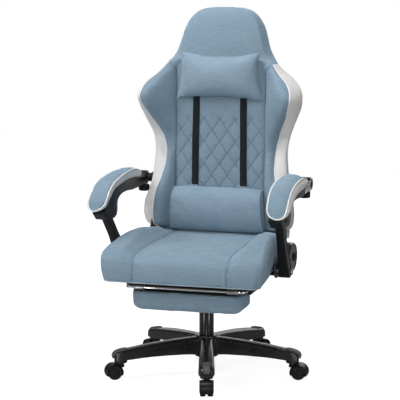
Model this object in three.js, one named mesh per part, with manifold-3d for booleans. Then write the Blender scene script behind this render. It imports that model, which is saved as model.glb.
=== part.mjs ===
// High-back swivel chair with coupled fold-back arms, a pull-out footrest and two loose pillows.
// Millimetres, +Z up. The sitter faces -Y; +X is the sitter's left. The floor is z = 0.
// Every piece is drawn about the gas column's axis (x = y = 0); the root group then moves the
// whole chair so that the middle of its bounding box's underside is the origin.
import * as THREE from 'three';
import { mergeVertices } from 'three/addons/utils/BufferGeometryUtils.js';
import Module from 'manifold-3d';

const wasm = await Module();
wasm.setup();

// ---------------------------------------------------------------- driving dimensions
const SHIFT_X = -7.554;                // moves the column axis off the frame's origin
const SHIFT_Y = 3.085;

const BASE_LEG_R = 331;                // hub axis to leg tip
const BASE_TURN = -74;                 // direction of the first leg, degrees from +X
const STEM_R = 305;                    // hub axis to caster stem
const CASTER_TRAIL = 24;               // stem axis to wheel axle
const WHEEL_APOTHEM = 25;              // axle height; the tread's flats touch the floor
const COLUMN_R = 25;
const COLUMN_TOP = 300;
const CYL_R = 14;
const CYL_TOP = 336;

const TILT_Y = -75, TILT_Z = 340;      // rocking axis
const PLATE_Z0 = 358, PLATE_Z1 = 362;  // seat plate
const KNOB_Y = -50;                     // tension knob axis
const LEVER_Y = -40;                   // height lever

const PAN_Z0 = 363.3, PAN_Z1 = 378;    // seat board
const SEAT_TOP = 462;                  // middle of the seat
const RECLINE_Y = 85, RECLINE_Z = 400; // recline axis O
const STRUT_Y = -35, STRUT_Z = 372;    // strut's foot pivot S
const JOINT_Y = -185, JOINT_Z = 572;   // strut's top pivot P (the opened one)
const ARM_Y = 212, ARM_Z = 632;        // arm's rear pivot B

const BAR_Y = -251, BAR_Z = 338, ROD_R = 6, ROD_X = 202;   // footrest rods

// ---------------------------------------------------------------- helpers
const V = (x, y, z) => new THREE.Vector3(x, y, z);
const rad = (d) => d * Math.PI / 180;

function clean(geometry) {
  const g = geometry.clone();
  g.deleteAttribute('normal');
  g.deleteAttribute('uv');
  const m = mergeVertices(g, 1e-4);
  const p = m.attributes.position, idx = m.index;
  let vol = 0;
  const a = V(0, 0, 0), b = V(0, 0, 0), c = V(0, 0, 0);
  const keep = [];
  for (let i = 0; i < idx.count; i += 3) {
    const i0 = idx.getX(i), i1 = idx.getX(i + 1), i2 = idx.getX(i + 2);
    if (i0 === i1 || i1 === i2 || i0 === i2) continue;
    keep.push(i0, i1, i2);
    a.fromBufferAttribute(p, i0); b.fromBufferAttribute(p, i1); c.fromBufferAttribute(p, i2);
    vol += a.dot(b.cross(c));
  }
  if (vol < 0) for (let i = 0; i < keep.length; i += 3) { const t = keep[i]; keep[i] = keep[i + 1]; keep[i + 1] = t; }
  m.setIndex(keep);
  return m;
}
function solid(geometry) {
  const g = clean(geometry);
  return new wasm.Manifold(new wasm.Mesh({
    numProp: 3,
    vertProperties: new Float32Array(g.attributes.position.array),
    triVerts: new Uint32Array(g.index.array),
  }));
}
function geo(manifold) {
  const m = manifold.getMesh();
  const n = m.vertProperties.length / m.numProp;
  const pos = new Float32Array(n * 3);
  for (let i = 0; i < n; i++) for (let k = 0; k < 3; k++) pos[3 * i + k] = m.vertProperties[i * m.numProp + k];
  const g = new THREE.BufferGeometry();
  g.setAttribute('position', new THREE.BufferAttribute(pos, 3));
  g.setIndex(Array.from(m.triVerts));
  return g;
}
const join = (...gs) => geo(gs.map(solid).reduce((a, b) => a.add(b)));
const cut = (g, ...tools) => geo(tools.map(solid).reduce((a, b) => a.subtract(b), solid(g)));
const common = (g, h) => geo(solid(g).intersect(solid(h)));

const box = (x0, x1, y0, y1, z0, z1) =>
  new THREE.BoxGeometry(x1 - x0, y1 - y0, z1 - z0).translate((x0 + x1) / 2, (y0 + y1) / 2, (z0 + z1) / 2);
// profile points are [radius, height]; the profile starts and ends on the axis or closes on itself
function turnZ(points, seg = 24, phase = 0) {
  const g = new THREE.LatheGeometry(points.map(([r, h]) => new THREE.Vector2(r, h)), seg, phase, Math.PI * 2);
  return clean(g.rotateX(Math.PI / 2));
}
const ringZ = (r0, r1, z0, z1, seg = 24) => turnZ([[r0, z0], [r1, z0], [r1, z1], [r0, z1], [r0, z0]], seg);
const rodZ = (r, z0, z1, seg = 20) => turnZ([[0, z0], [r, z0], [r, z1], [0, z1]], seg);
function turnX(points, seg = 20) {              // [radius, x]
  const g = new THREE.LatheGeometry(points.map(([r, h]) => new THREE.Vector2(r, h)), seg, Math.PI / seg, Math.PI * 2);
  return clean(g.rotateZ(-Math.PI / 2));
}
const rodX = (r, x0, x1, y, z, seg = 20) => turnX([[0, x0], [r, x0], [r, x1], [0, x1]], seg).translate(0, y, z);
function shape2(points, holes = []) {
  const s = new THREE.Shape(points.map(([u, v]) => new THREE.Vector2(u, v)));
  for (const h of holes) s.holes.push(new THREE.Path(h.map(([u, v]) => new THREE.Vector2(u, v))));
  return s;
}
const circle = (cu, cv, r, n = 20) => Array.from({ length: n }, (_, i) =>
  [cu + r * Math.cos(2 * Math.PI * i / n), cv + r * Math.sin(2 * Math.PI * i / n)]);
const arc = (cu, cv, r, a0, a1, n) => Array.from({ length: n + 1 }, (_, i) => {
  const a = rad(a0 + (a1 - a0) * i / n);
  return [cu + r * Math.cos(a), cv + r * Math.sin(a)];
});
function alongX(points, x0, x1, holes = []) {   // outline in (y, z)
  const g = new THREE.ExtrudeGeometry(shape2(points, holes), { depth: x1 - x0, bevelEnabled: false });
  g.applyMatrix4(new THREE.Matrix4().makeBasis(V(0, 1, 0), V(0, 0, 1), V(1, 0, 0)));
  return clean(g.translate(x0, 0, 0));
}
function alongY(points, y0, y1, holes = []) {   // outline in (x, z)
  const g = new THREE.ExtrudeGeometry(shape2(points, holes), { depth: y1 - y0, bevelEnabled: false });
  g.applyMatrix4(new THREE.Matrix4().makeBasis(V(1, 0, 0), V(0, 0, 1), V(0, -1, 0)));
  return clean(g.translate(0, y1, 0));
}
function alongZ(points, z0, z1, holes = []) {   // outline in (x, y)
  const g = new THREE.ExtrudeGeometry(shape2(points, holes), { depth: z1 - z0, bevelEnabled: false });
  return clean(g.translate(0, 0, z0));
}
function sweep(curve, section, steps) {
  return clean(new THREE.ExtrudeGeometry(shape2(section), { steps, bevelEnabled: false, extrudePath: curve }));
}
// closed skin over rings that all have the same number of points
function loft(rings) {
  const n = rings[0].length, pos = [], idx = [];
  for (const r of rings) for (const p of r) pos.push(p[0], p[1], p[2]);
  for (let k = 0; k + 1 < rings.length; k++) for (let i = 0; i < n; i++) {
    const j = (i + 1) % n, a = k * n + i, b = k * n + j, c = a + n, d = b + n;
    idx.push(a, b, d, a, d, c);
  }
  const cap = (r, base, flip) => {
    const c = V(0, 0, 0); for (const p of r) c.add(V(p[0], p[1], p[2]).divideScalar(r.length));
    const nrm = V(0, 0, 0);
    for (let i = 0; i < n; i++) nrm.add(V(...r[i]).sub(c).cross(V(...r[(i + 1) % n]).sub(c)));
    nrm.normalize();
    const u = V(...r[0]).sub(c).normalize(), w = nrm.clone().cross(u);
    const flat = r.map((p) => { const q = V(...p).sub(c); return new THREE.Vector2(q.dot(u), q.dot(w)); });
    for (const [a, b, d] of THREE.ShapeUtils.triangulateShape(flat, []))
      flip ? idx.push(base + a, base + d, base + b) : idx.push(base + a, base + b, base + d);
  };
  cap(rings[0], 0, true);
  cap(rings[rings.length - 1], (rings.length - 1) * n, false);
  const g = new THREE.BufferGeometry();
  g.setAttribute('position', new THREE.Float32BufferAttribute(pos, 3));
  g.setIndex(idx);
  return clean(g);
}
function mirrorX(g) {
  const m = g.clone().applyMatrix4(new THREE.Matrix4().makeScale(-1, 1, 1));
  return clean(m);
}
function bend(g, fn) {                          // moves every vertex by fn(x, y, z) -> [x, y, z]
  const m = g.clone(), p = m.attributes.position;
  for (let i = 0; i < p.count; i++) p.setXYZ(i, ...fn(p.getX(i), p.getY(i), p.getZ(i)));
  return clean(m);
}

const mat = (color, roughness, metalness = 0) => new THREE.MeshStandardMaterial({ color, roughness, metalness });
const BLUE = 0x7d98ac, BLUE_DARK = 0x6c8799, WHITE = 0xd8d8db, BLACK = 0x1b1c1e, SATIN = 0x26282a, STEEL = 0x8b8f93;
const root = new THREE.Group();
function add(name, geometry, material, parent = root) {
  const g = geometry.clone();
  g.computeVertexNormals();
  const m = new THREE.Mesh(g, material);
  m.name = name;
  parent.add(m);
  return m;
}
function pairX(name, geometry, material) {
  add(`${name}_left`, geometry, material());
  add(`${name}_right`, mirrorX(geometry), material());
}

// ---------------------------------------------------------------- five-leg base
{
  let star = solid(turnZ([[24, 58], [39.5, 58], [41.5, 80], [39.5, 124], [36, 131], [24, 131], [24, 58]], 24));
  const sections = [[32, 21, 68, 128], [75, 22, 70, 125], [150, 24.5, 72, 119], [230, 26.5, 71, 110], [290, 27, 67, 100], [318, 26, 66, 96], [BASE_LEG_R, 18, 67, 89]];
  for (let k = 0; k < 5; k++) {
    const a = rad(BASE_TURN + 72 * k);
    const leg = loft(sections.map(([r, w, z0, z1]) =>
      [[r, -w, z0], [r, w, z0], [r, w, z1 - 12], [r, w - 8, z1], [r, -w + 8, z1], [r, -w, z1 - 12]])).rotateZ(a);
    const boss = turnZ([[0, 55], [22, 55], [22.5, 84], [0, 84]], 16).translate(STEM_R, 0, 0).rotateZ(a);
    star = star.add(solid(leg)).add(solid(boss));
  }
  for (let k = 0; k < 5; k++) {
    const a = rad(BASE_TURN + 72 * k);
    star = star.subtract(solid(rodZ(5.9, 50, 89.5, 10).translate(STEM_R, 0, 0).rotateZ(a)));
  }
  star = star.subtract(solid(rodZ(COLUMN_R + 0.3, 50, 140, 24)));
  add('star_base', geo(star), mat(BLACK, 0.45));
}

// ---------------------------------------------------------------- gas column
add('column_tube', turnZ([[5.4, 62], [COLUMN_R, 62], [COLUMN_R, COLUMN_TOP], [22, COLUMN_TOP], [22, 68], [5.4, 68], [5.4, 62]], 24), mat(BLACK, 0.25, 0.6));
add('column_bush', turnZ([[14.4, 190], [21.7, 190], [21.7, 300.3], [24.6, 300.3], [24.6, 305], [22, 308], [14.4, 308], [14.4, 190]], 24), mat(SATIN, 0.6));
add('thrust_bearing', ringZ(6, 13, 68.3, 75, 20), mat(STEEL, 0.35, 0.9));
add('piston_rod', turnZ([[0, 57], [9, 57], [9, 61.7], [5, 61.7], [5, 232], [0, 232]], 16), mat(STEEL, 0.2, 1));
add('gas_cylinder', turnZ([[5.4, 118], [CYL_R, 118], [CYL_R, CYL_TOP - 14], [CYL_R - 0.6, CYL_TOP], [0, CYL_TOP], [0, 318], [5.4, 318], [5.4, 118]], 20), mat(SATIN, 0.3, 0.8));

// ---------------------------------------------------------------- casters
// drawn with the stem on the origin and the wheel trailing along +X
{
  const ax = CASTER_TRAIL, az = WHEEL_APOTHEM;
  const seg = 20, R = WHEEL_APOTHEM / Math.cos(Math.PI / seg);
  const wheelProfile = [[0, -22.8], [21.5, -22.8], [R, -19.6], [R, -3.4], [3, -3.4], [3, 3.4], [R, 3.4], [R, 19.6], [21.5, 22.8], [0, 22.8]];
  const wheels = clean(new THREE.LatheGeometry(wheelProfile.map(([r, h]) => new THREE.Vector2(r, h)), seg, Math.PI / seg, Math.PI * 2)).translate(ax, 0, az);
  const at = (pts) => pts.map(([u, v]) => [ax + u, az + v]);
  const fender = alongY(at([...arc(0, 0, 28.6, -28, 208, 10), ...arc(0, 0, 26.8, 208, -28, 10)]), -23.2, 23.2);
  const web = alongY(at([...arc(0, 0, 27.6, -28, 208, 10), [-9, -9], [9, -9]]), -2.7, 2.7, [at(circle(0, 0, 3.4, 8))]);
  let hood = solid(fender).add(solid(web)).add(solid(turnZ([[0, 36], [10.5, 36], [10.5, 54.2], [0, 54.2]], 12)));
  for (const s of [-1, 1]) hood = hood.subtract(solid(alongY(at(circle(0, 0, 26, 20)), s > 0 ? 2.7 : -24, s > 0 ? 24 : -2.7)));
  hood = hood.add(solid(rodZ(5.5, 50, 88, 10)));
  const hoodGeometry = geo(hood);
  for (let k = 0; k < 5; k++) {
    const a = rad(BASE_TURN + 72 * k);
    const holder = new THREE.Group();
    holder.position.set(STEM_R * Math.cos(a), STEM_R * Math.sin(a), 0);
    holder.rotation.z = a;
    root.add(holder);
    add(`caster_hood_${k + 1}`, hoodGeometry, mat(BLACK, 0.4), holder);
    add(`caster_wheels_${k + 1}`, wheels, mat(BLACK, 0.6), holder);
  }
}

// ---------------------------------------------------------------- tilt mechanism
{
  const outer = alongX([[-93, 316], [62, 316], [62, 327.5], [TILT_Y, 352], [-93, 352]], -72, 72);
  const inner = alongX([[-90, 319], [59, 319], [59, 360], [-90, 360]], -69, 69);
  let h = solid(outer).subtract(solid(inner));
  h = h.add(solid(ringZ(10, 20, 316, 337, 24)));
  h = h.subtract(solid(rodZ(CYL_R + 0.3, 310, 345, 20)));
  h = h.subtract(solid(rodX(6.3, -80, 80, TILT_Y, TILT_Z, 16)));
  h = h.subtract(solid(rodZ(4.4, 310, 325, 12).translate(0, KNOB_Y, 0)));
  h = h.subtract(solid(rodX(6.2, -80, -60, LEVER_Y, 326, 12)));
  add('tilt_housing', geo(h), mat(BLACK, 0.5, 0.4));
  add('tilt_shaft', rodX(6, -85, 85, TILT_Y, TILT_Z, 16), mat(STEEL, 0.3, 1));
  const coil = new THREE.Curve();
  coil.getPoint = (t) => V(13 * Math.cos(t * 7 * Math.PI), KNOB_Y + 13 * Math.sin(t * 7 * Math.PI), 321.6 + 33 * t);
  add('tension_spring', sweep(coil, circle(0, 0, 2, 5), 36), mat(STEEL, 0.35, 1));
  const lobes = Array.from({ length: 28 }, (_, i) => { const t = 2 * Math.PI * i / 28, r = 18.6 + 1.5 * Math.cos(7 * t); return [r * Math.cos(t), KNOB_Y + r * Math.sin(t)]; });
  add('tension_knob', join(alongZ(lobes, 286, 312), rodZ(4, 311, 336, 12).translate(0, KNOB_Y, 0)), mat(BLACK, 0.55));
  const pts = [V(-52, LEVER_Y, 326), V(-92, LEVER_Y, 326), V(-122, LEVER_Y, 298), V(-196, LEVER_Y, 297)];
  const grip = alongX([[LEVER_Y - 13, 293.5], [LEVER_Y + 13, 293.5], [LEVER_Y + 15, 297], [LEVER_Y + 13, 300.5], [LEVER_Y - 13, 300.5], [LEVER_Y - 15, 297]], -231, -190);
  add('height_lever', join(sweep(new THREE.CatmullRomCurve3(pts, false, 'catmullrom', 0.15), circle(0, 0, 4, 8), 18), grip), mat(BLACK, 0.4, 0.5));
}

// ---------------------------------------------------------------- seat
add('seat_plate', cut(join(box(-95, 95, -108, 85, PLATE_Z0, PLATE_Z1), box(76, 80, -95, -57, 329, 360), box(-80, -76, -95, -57, 329, 360)),
  rodX(6.3, 70, 90, TILT_Y, TILT_Z, 16), rodX(6.3, -90, -70, TILT_Y, TILT_Z, 16)), mat(BLACK, 0.5, 0.4));
add('seat_pan', alongZ([[-200, -284], [200, -284], [212, -272], [212, 150], [-212, 150], [-212, -272]], PAN_Z0, PAN_Z1), mat(0x2a2622, 0.8));
{
  // cross-sections from front to back: [y, half width at floor, half width at widest, z widest, bolster x, bolster z, top z, bottom z]
  const S = [
    [-330, 236, 251, 426, 205, 438, 434, 388],
    [-321, 257, 271, 428, 218, 455, 447, 370],
    [-296, 266, 279, 430, 226, 470, 455, 359],
    [-264, 265, 278, 434, 229, 478, 458, 363.4],
    [-220, 261, 274, 436, 228, 486, 461, 363.4],
    [-150, 257, 268, 440, 226, 495, SEAT_TOP, 363.4],
    [-88, 256, 263, 440, 226, 495, SEAT_TOP, 363.4],
    [-70, 246, 248, 440, 224, 495, SEAT_TOP, 363.4],
    [40, 246, 248, 440, 222, 484, SEAT_TOP, 363.4],
    [56, 214, 221, 440, 205, 480, SEAT_TOP, 363.4],
    [104, 214, 221, 440, 203, 469, SEAT_TOP - 0.4, 363.4],
    [132, 213, 220, 438, 201, 461.6, 461.4, 364.5],
    [150, 212, 219, 432, 200, 457, 460.4, 366],
    [165, 206, 214, 424, 194, 446, 455.6, 374],
    [172, 198, 206, 416, 188, 437, 446, 384],
  ];
  const ring = ([y, b, w, zw, xc, zc, zt, zb]) => [
    [-b, y, zb], [b, y, zb], [w, y, Math.max(zw - 30, zb + 6)], [w, y, zw], [xc + 0.4 * (w - xc), y, zc], [xc - 12, y, zc], [158, y, zt], [-158, y, zt], [-xc + 12, y, zc], [-xc - 0.4 * (w - xc), y, zc], [-w, y, zw], [-w, y, Math.max(zw - 30, zb + 6)],
  ];
  add('seat_cushion', cut(loft(S.map(ring)), box(-212.6, 212.6, -284.6, 150.6, 350, PAN_Z1 + 0.4)), mat(BLUE, 0.9));
}

// ---------------------------------------------------------------- recliners, one each side of the seat
{
  const plate = alongX([[-58, 358.5], [-58, 380], [-48, 393], [-30, 397], [40, 430], [62, 440], [100, 440], [122, 424], [128, 400], [120, 376], [104, 360], [84, 352], [-20, 348], [-46, 350]],
    251, 256, [circle(STRUT_Y, STRUT_Z, 6.3, 16), circle(RECLINE_Y, RECLINE_Z, 6.3, 16)]);
  pairX('recliner_plate', join(plate, box(180, 253, -50, 60, 358.6, 362.7)), () => mat(BLACK, 0.5, 0.4));
  pairX('recliner_hub', turnX([[0, 221.5], [9, 221.5], [9, 225.7], [6, 225.7], [6, 231.4], [30, 231.4], [30, 250.7], [6, 250.7], [6, 262], [0, 262]], 16).translate(0, RECLINE_Y, RECLINE_Z), () => mat(STEEL, 0.4, 0.9));
  const outline = [[-8, 372], [-8, 396], [22, 436], [50, 449], [90, 449], [118, 436], [131, 412], [131, 388], [118, 364], [96, 352], [40, 347], [8, 352]];
  const innerOutline = [[-4.5, 374], [-4.5, 395], [24.5, 433], [51, 445.5], [89, 445.5], [115.5, 433.5], [127.5, 411], [127.5, 389], [115.5, 366.5], [95, 355.5], [40, 350.5], [10, 355]];
  const shell = cut(alongX(outline, 256.4, 286), alongX(innerOutline, 256, 282.8));
  add('recliner_cover_left', shell, mat(BLACK, 0.3));
  add('recliner_cover_right', mirrorX(cut(shell, rodX(6.4, 270, 300, RECLINE_Y, RECLINE_Z, 16))), mat(BLACK, 0.3));
  // lever on the sitter's right
  const arm = alongX([[RECLINE_Y + 13, RECLINE_Z - 6], [RECLINE_Y + 10, RECLINE_Z + 12], [30, 437], [16, 449], [2, 448], [-1, 436], [12, 422], [RECLINE_Y - 14, RECLINE_Z - 2], [RECLINE_Y - 6, RECLINE_Z - 14], [RECLINE_Y + 6, RECLINE_Z - 14]], 289, 295);
  add('recline_lever', mirrorX(join(arm, rodX(6, 264.5, 290, RECLINE_Y, RECLINE_Z, 16))), mat(BLACK, 0.45));
}

// ---------------------------------------------------------------- arm struts
{
  const dirY = JOINT_Y - STRUT_Y, dirZ = JOINT_Z - STRUT_Z, L = Math.hypot(dirY, dirZ);
  const ny = -dirZ / L, nz = dirY / L;                 // across the strut, towards the front
  const q = (t, w) => [STRUT_Y + dirY * t + ny * w, STRUT_Z + dirZ * t + nz * w];
  const foot = Math.atan2(-nz, -ny) * 180 / Math.PI;    // rear side of the foot
  const pts = [
    ...arc(STRUT_Y, STRUT_Z, 21, foot, foot - 180, 8),
    q(0.12, 19.5), q(0.45, 16), q(0.85, 15),
    ...arc(JOINT_Y, JOINT_Z, 16, foot - 180, foot - 360, 8),
    q(0.85, -15), q(0.45, -16), q(0.12, -19.5),
  ];
  const strut = alongX(pts, 265, 293, [circle(STRUT_Y, STRUT_Z, 6.3, 16)]);
  const lean = (x, y, z) => [x + 0.115 * (z - STRUT_Z) + (x > 280 ? 11 * Math.max(0, 1 - Math.max(0, z - STRUT_Z + 21) / 130) : 0), y, z];
  pairX('arm_strut', join(bend(strut, lean), rodX(5, 279, 320, JOINT_Y, JOINT_Z, 12)), () => mat(BLACK, 0.45));
  pairX('strut_bolt', turnX([[0, 248.6], [8.5, 248.6], [8.5, 250.7], [6, 250.7], [6, 305.4], [11, 305.4], [11, 309], [0, 309]], 16).translate(0, STRUT_Y, STRUT_Z), () => mat(STEEL, 0.35, 1));
}

// ---------------------------------------------------------------- arms
{
  const outline = [
    [-262, 574], [-247, 592], [-226, 607], [-199, 624.5], [-172, 641.5], [-108, 654.5], [-13, 657.5], [90, 650.5], [150, 645], [186, 641],
    [192, 649], [203, 655], [221, 655], [233, 646], [237, 632], [233, 618], [221, 609], [203, 608], [186, 610], [150, 611], [90, 611], [52, 611], [-14, 617], [-70, 616.5], [-106, 606], [-118, 592], [-116, 570], [-124, 553], [-145, 546], [-190, 546], [-226, 549],
  ];
  const slot = alongX([[-212, 598], [-160, 601], [-100, 560], [-100, 530], [-212, 530]], 283.6, 319);
  let beam = solid(bend(alongX(outline, 277, 322), (x, y, z) => [x > 300 ? x - 9 * Math.min(1, Math.max(0, (y - 30) / 110)) : x, y, z]));
  beam = beam.subtract(solid(slot)).subtract(solid(rodX(9.4, 265, 335, JOINT_Y, JOINT_Z, 16)));
  beam = beam.subtract(solid(rodX(8.35, 270, 308, ARM_Y, ARM_Z, 20)));
  beam = beam.subtract(solid(rodZ(4.4, 600, 621, 12).translate(290, ARM_Y, 0)));
  pairX('arm_beam', geo(beam), () => mat(BLACK, 0.4));
  const pad = [
    [-258.5, 581.5], [-232.5, 605], [-202, 624.8], [-173, 643], [-108, 656], [-13, 659], [90, 652], [113, 650.1],
    [121, 658], [121, 667], [112, 676], [86, 685], [20, 692], [-60, 691], [-110, 686.5], [-160, 677], [-200, 663], [-230, 643], [-252, 618], [-266, 595], [-268, 585],
  ];
  const padG = bend(alongX(pad, 264, 329), (x, y, z) => [x > 300 ? x + 14 * Math.min(1, Math.max(0, (100 - y) / 300)) : x + 10 * Math.min(1, Math.max(0, (-y - 120) / 140)), y, z + 0.7]);
  pairX('arm_pad', padG, () => mat(BLUE, 0.9));
  const lobes = Array.from({ length: 24 }, (_, i) => { const t = 2 * Math.PI * i / 24, r = 18.6 + 1.5 * Math.cos(6 * t); return [290 + r * Math.cos(t), ARM_Y + r * Math.sin(t)]; });
  pairX('arm_knob', join(alongZ(lobes, 584, 607.4), rodZ(4, 606, 619.5, 12).translate(290, ARM_Y, 0)), () => mat(BLACK, 0.5));
}

// ---------------------------------------------------------------- back
{
  const head = [[1044, 203], [1068, 184], [1095, 169], [1122, 156], [1149, 146], [1177, 138], [1204, 118], [1219, 94], [1229, 62]];
  const centre = alongX([[158, 470], [156, 560], [158, 640], [167, 928], [172, 1046], [262, 1046], [258, 930], [250, 740], [244, 560], [240, 470]], -160, 160);
  const headOutline = [...head.map(([z, w]) => [w, z]), ...head.slice().reverse().map(([z, w]) => [-w, z])];
  const headProfile = alongX([[172, 1040], [178, 1100], [190, 1160], [208, 1205], [232, 1229.5], [258, 1230], [278, 1214], [285, 1180], [280, 1120], [268, 1040]], -220, 220);
  const headBlock = common(alongY(headOutline, 150, 300), headProfile);
  const channel = alongY([[-151, 490], [-129, 490], [-129, 1099], [129, 1099], [129, 490], [151, 490], [151, 1110], [140, 1121], [-140, 1121], [-151, 1110]], 204, 330);
  const crossChannel = box(-161, 161, 204, 330, 511, 533);
  add('back_cushion', cut(join(centre, headBlock), channel, crossChannel, rodX(10.6, 120, 170, ARM_Y, ARM_Z, 16), rodX(10.6, -170, -120, ARM_Y, ARM_Z, 16)), mat(BLUE, 0.9));

  // wings: [z, front inner y, crest x, crest y, front edge x, y, outer x, y, rear outer x, y, rear inner y]
  const W = [
    [491, 176, 205, 110, 228, 110, 251, 138, 236, 228, 240],
    [540, 180, 205, 106, 231, 106, 257, 134, 240, 232, 243],
    [600, 184, 195, 116, 222, 120, 253, 146, 236, 234, 246],
    [650, 186, 186, 130, 212, 138, 245, 160, 228, 236, 247],
    [702, 187, 180, 146, 202, 150, 240, 172, 222, 238, 249],
    [753, 188, 180, 168, 201, 178, 238, 188, 220, 242, 251],
    [810, 188, 196, 150, 218, 164, 252, 180, 234, 240, 253],
    [867, 188, 222, 114, 247, 124, 275, 158, 258, 236, 255],
    [905, 187, 236, 84, 262, 92, 288, 148, 270, 230, 257],
    [935, 186, 238, 78, 268, 84, 293, 146, 272, 226, 258],
    [962, 186, 232, 88, 262, 98, 284, 156, 264, 228, 259],
    [986, 186, 220, 112, 247, 122, 264, 176, 250, 232, 260],
    [1012, 185, 204, 138, 222, 146, 234, 196, 226, 240, 261],
    [1043.6, 184, 184, 164, 190, 172, 204, 205, 198, 250, 262],
  ];
  const ring = ([z, yi, cx, cy, fx, fy, ox, oy, rx, ry, yr]) => [[160.3, yi, z], [cx, cy, z], [fx, fy, z], [ox, oy, z], [rx, ry, z], [160.3, yr, z]];
  const slot = box(225.4, 231.8, 60, 214, 480, 566);
  const wing = cut(loft(W.map(ring)), slot, box(150, 226, 204, 330, 511, 533), rodX(10.6, 140, 270, ARM_Y, ARM_Z, 16));
  pairX('back_bolster', wing, () => mat(BLUE, 0.9));

  // steel frame: an upside-down U of tube with a cross tube that carries the hinge plates
  const yF = 222;
  const tube = alongY([[-147, 492], [-133, 492], [-133, 1103], [133, 1103], [133, 492], [147, 492], [147, 1108], [138, 1117], [-138, 1117], [-147, 1108]], yF - 7, yF + 7);
  add('back_frame', join(tube, box(-225, 225, yF - 7, yF + 7, 515, 529)), mat(BLACK, 0.5, 0.6));

  const hinge = [...arc(RECLINE_Y, RECLINE_Z, 27, -170, -10, 6), [125, 440], [158, 480], [209, 500], [209, 562], [176, 562], [150, 545], [110, 500], [72, 450], [60, 428]];
  pairX('back_hinge_plate', alongX(hinge, 226, 231, [circle(RECLINE_Y, RECLINE_Z, 6.3, 16)]), () => mat(BLACK, 0.5, 0.5));

  const bracket = turnX([[0, 151.5], [10, 151.5], [10, 248.5], [17, 248.5], [17, 256], [13, 272.6], [8, 272.6], [8, 305], [0, 305]], 20).translate(0, ARM_Y, ARM_Z);
  pairX('arm_bracket', bracket, () => mat(BLACK, 0.4, 0.3));

  const strap = alongX([[156.5, 640], [154.4, 622], [154.4, 560], [155.9, 560], [155.9, 622], [157.6, 640], [166.6, 928], [171.2, 1030], [169.7, 1030], [165.1, 928]].map(([y, z]) => [y - 0.4, z]), 72.5, 97);
  pairX('strap', strap, () => mat(BLACK, 0.8));
}

// ---------------------------------------------------------------- pillows
{
  const pillow = (w0, w1, z0, z1, yb, yf, edge) => {
    const zm = (z0 + z1) / 2, rings = [];
    const outline = (s, y) => [[-w0 * s, z0 + (1 - s) * 40], [0, z0 + (1 - s) * 40 + 3 * s], [w0 * s, z0 + (1 - s) * 40], [w1 * s + 1, zm], [w1 * s, z1 - (1 - s) * 40], [0, z1 - (1 - s) * 40 - 4 * s], [-w1 * s, z1 - (1 - s) * 40], [-w1 * s - 1, zm]].map(([x, z]) => [x, y, z]);
    rings.push(outline(0.86, yf), outline(0.96, yf + 0.3 * (edge - yf)), outline(1, edge), outline(0.95, yb));
    return loft(rings);
  };
  add('headrest_pillow', bend(pillow(147, 137, 922, 1078, 164.2, 112, 152), (x, y, z) => [x, y + 0.03 * (z - 1000), z]), mat(BLUE_DARK, 0.9));
  add('lumbar_pillow', pillow(166, 158, 463, 618, 152.8, 96, 134), mat(BLUE_DARK, 0.9));
}

// ---------------------------------------------------------------- footrest
{
  const guide = alongY([[-12, 326], [12, 326], [12, 350], [9, 350], [9, 362.7], [-9, 362.7], [-9, 350], [-12, 350]], -221, -72, [circle(0, BAR_Z, ROD_R + 0.4, 16)]).translate(ROD_X, 0, 0);
  pairX('footrest_guide', guide, () => mat(BLACK, 0.5));
  add('footrest_crossmember', alongY([[-214, 349], [214, 349], [214, 362.8], [-214, 362.8]], -262, -238), mat(BLACK, 0.5, 0.3));
  const r = 22, y1 = 160;
  const corner = (s) => { const pts = []; for (let i = 0; i <= 6; i++) { const a = rad(90 * i / 6); pts.push(V(s * (ROD_X - r + r * Math.cos(a)), BAR_Y + r - r * Math.sin(a), BAR_Z)); } return pts; };
  const cR = corner(1), cL = corner(-1).reverse();
  const all = [V(ROD_X, y1, BAR_Z), ...cR, ...cL, V(-ROD_X, y1, BAR_Z)];
  // skin over circular sections set square to the rod at each point
  const rings = all.map((p, i) => {
    const t = (i === 0 ? all[1].clone().sub(p) : i === all.length - 1 ? p.clone().sub(all[i - 1]) : all[i + 1].clone().sub(p).normalize().add(p.clone().sub(all[i - 1]).normalize())).normalize();
    const side = V(0, 0, 1).cross(t);
    return Array.from({ length: 12 }, (_, k) => { const a = 2 * Math.PI * k / 12; return [p.x + side.x * ROD_R * Math.cos(a), p.y + side.y * ROD_R * Math.cos(a), p.z + ROD_R * Math.sin(a)]; });
  });
  add('footrest_frame', loft(rings), mat(0xd9dcdf, 0.12, 1));
  const sleeve = (x) => turnX([[ROD_R + 0.4, x - 18], [10, x - 18], [10, x + 18], [ROD_R + 0.4, x + 18], [ROD_R + 0.4, x - 18]], 20).translate(0, BAR_Y, BAR_Z);
  let board = solid(alongZ([[-182, -242], [182, -242], [182, -112], [170, -100], [-170, -100], [-182, -112]], 325, 330.5));
  for (const x of [-160, 160]) board = board.add(solid(sleeve(x))).add(solid(cut(box(x - 18, x + 18, BAR_Y - 8, BAR_Y + 14, 326, 336), rodX(8, x - 30, x + 30, BAR_Y, BAR_Z, 16))));
  add('footrest_board', geo(board), mat(BLACK, 0.6));
  const padRings = [[259.5, 166, -250, -110], [268, 180, -259, -101], [296, 188, -263, -97], [324.7, 189, -262, -98]].map(([z, w, ya, yb]) => {
    const c = 20;
    return [[-w + c, ya, z], [w - c, ya, z], [w, ya + c, z], [w, yb - c, z], [w - c, yb, z], [-w + c, yb, z], [-w, yb - c, z], [-w, ya + c, z]];
  });
  add('footrest_pad', loft(padRings), mat(BLUE, 0.9));
}

root.position.set(SHIFT_X, SHIFT_Y, 0);

export default root;
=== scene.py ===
import math
import bpy
import bmesh
import numpy as np
from mathutils import Vector, Matrix
from mathutils.bvhtree import BVHTree


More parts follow.
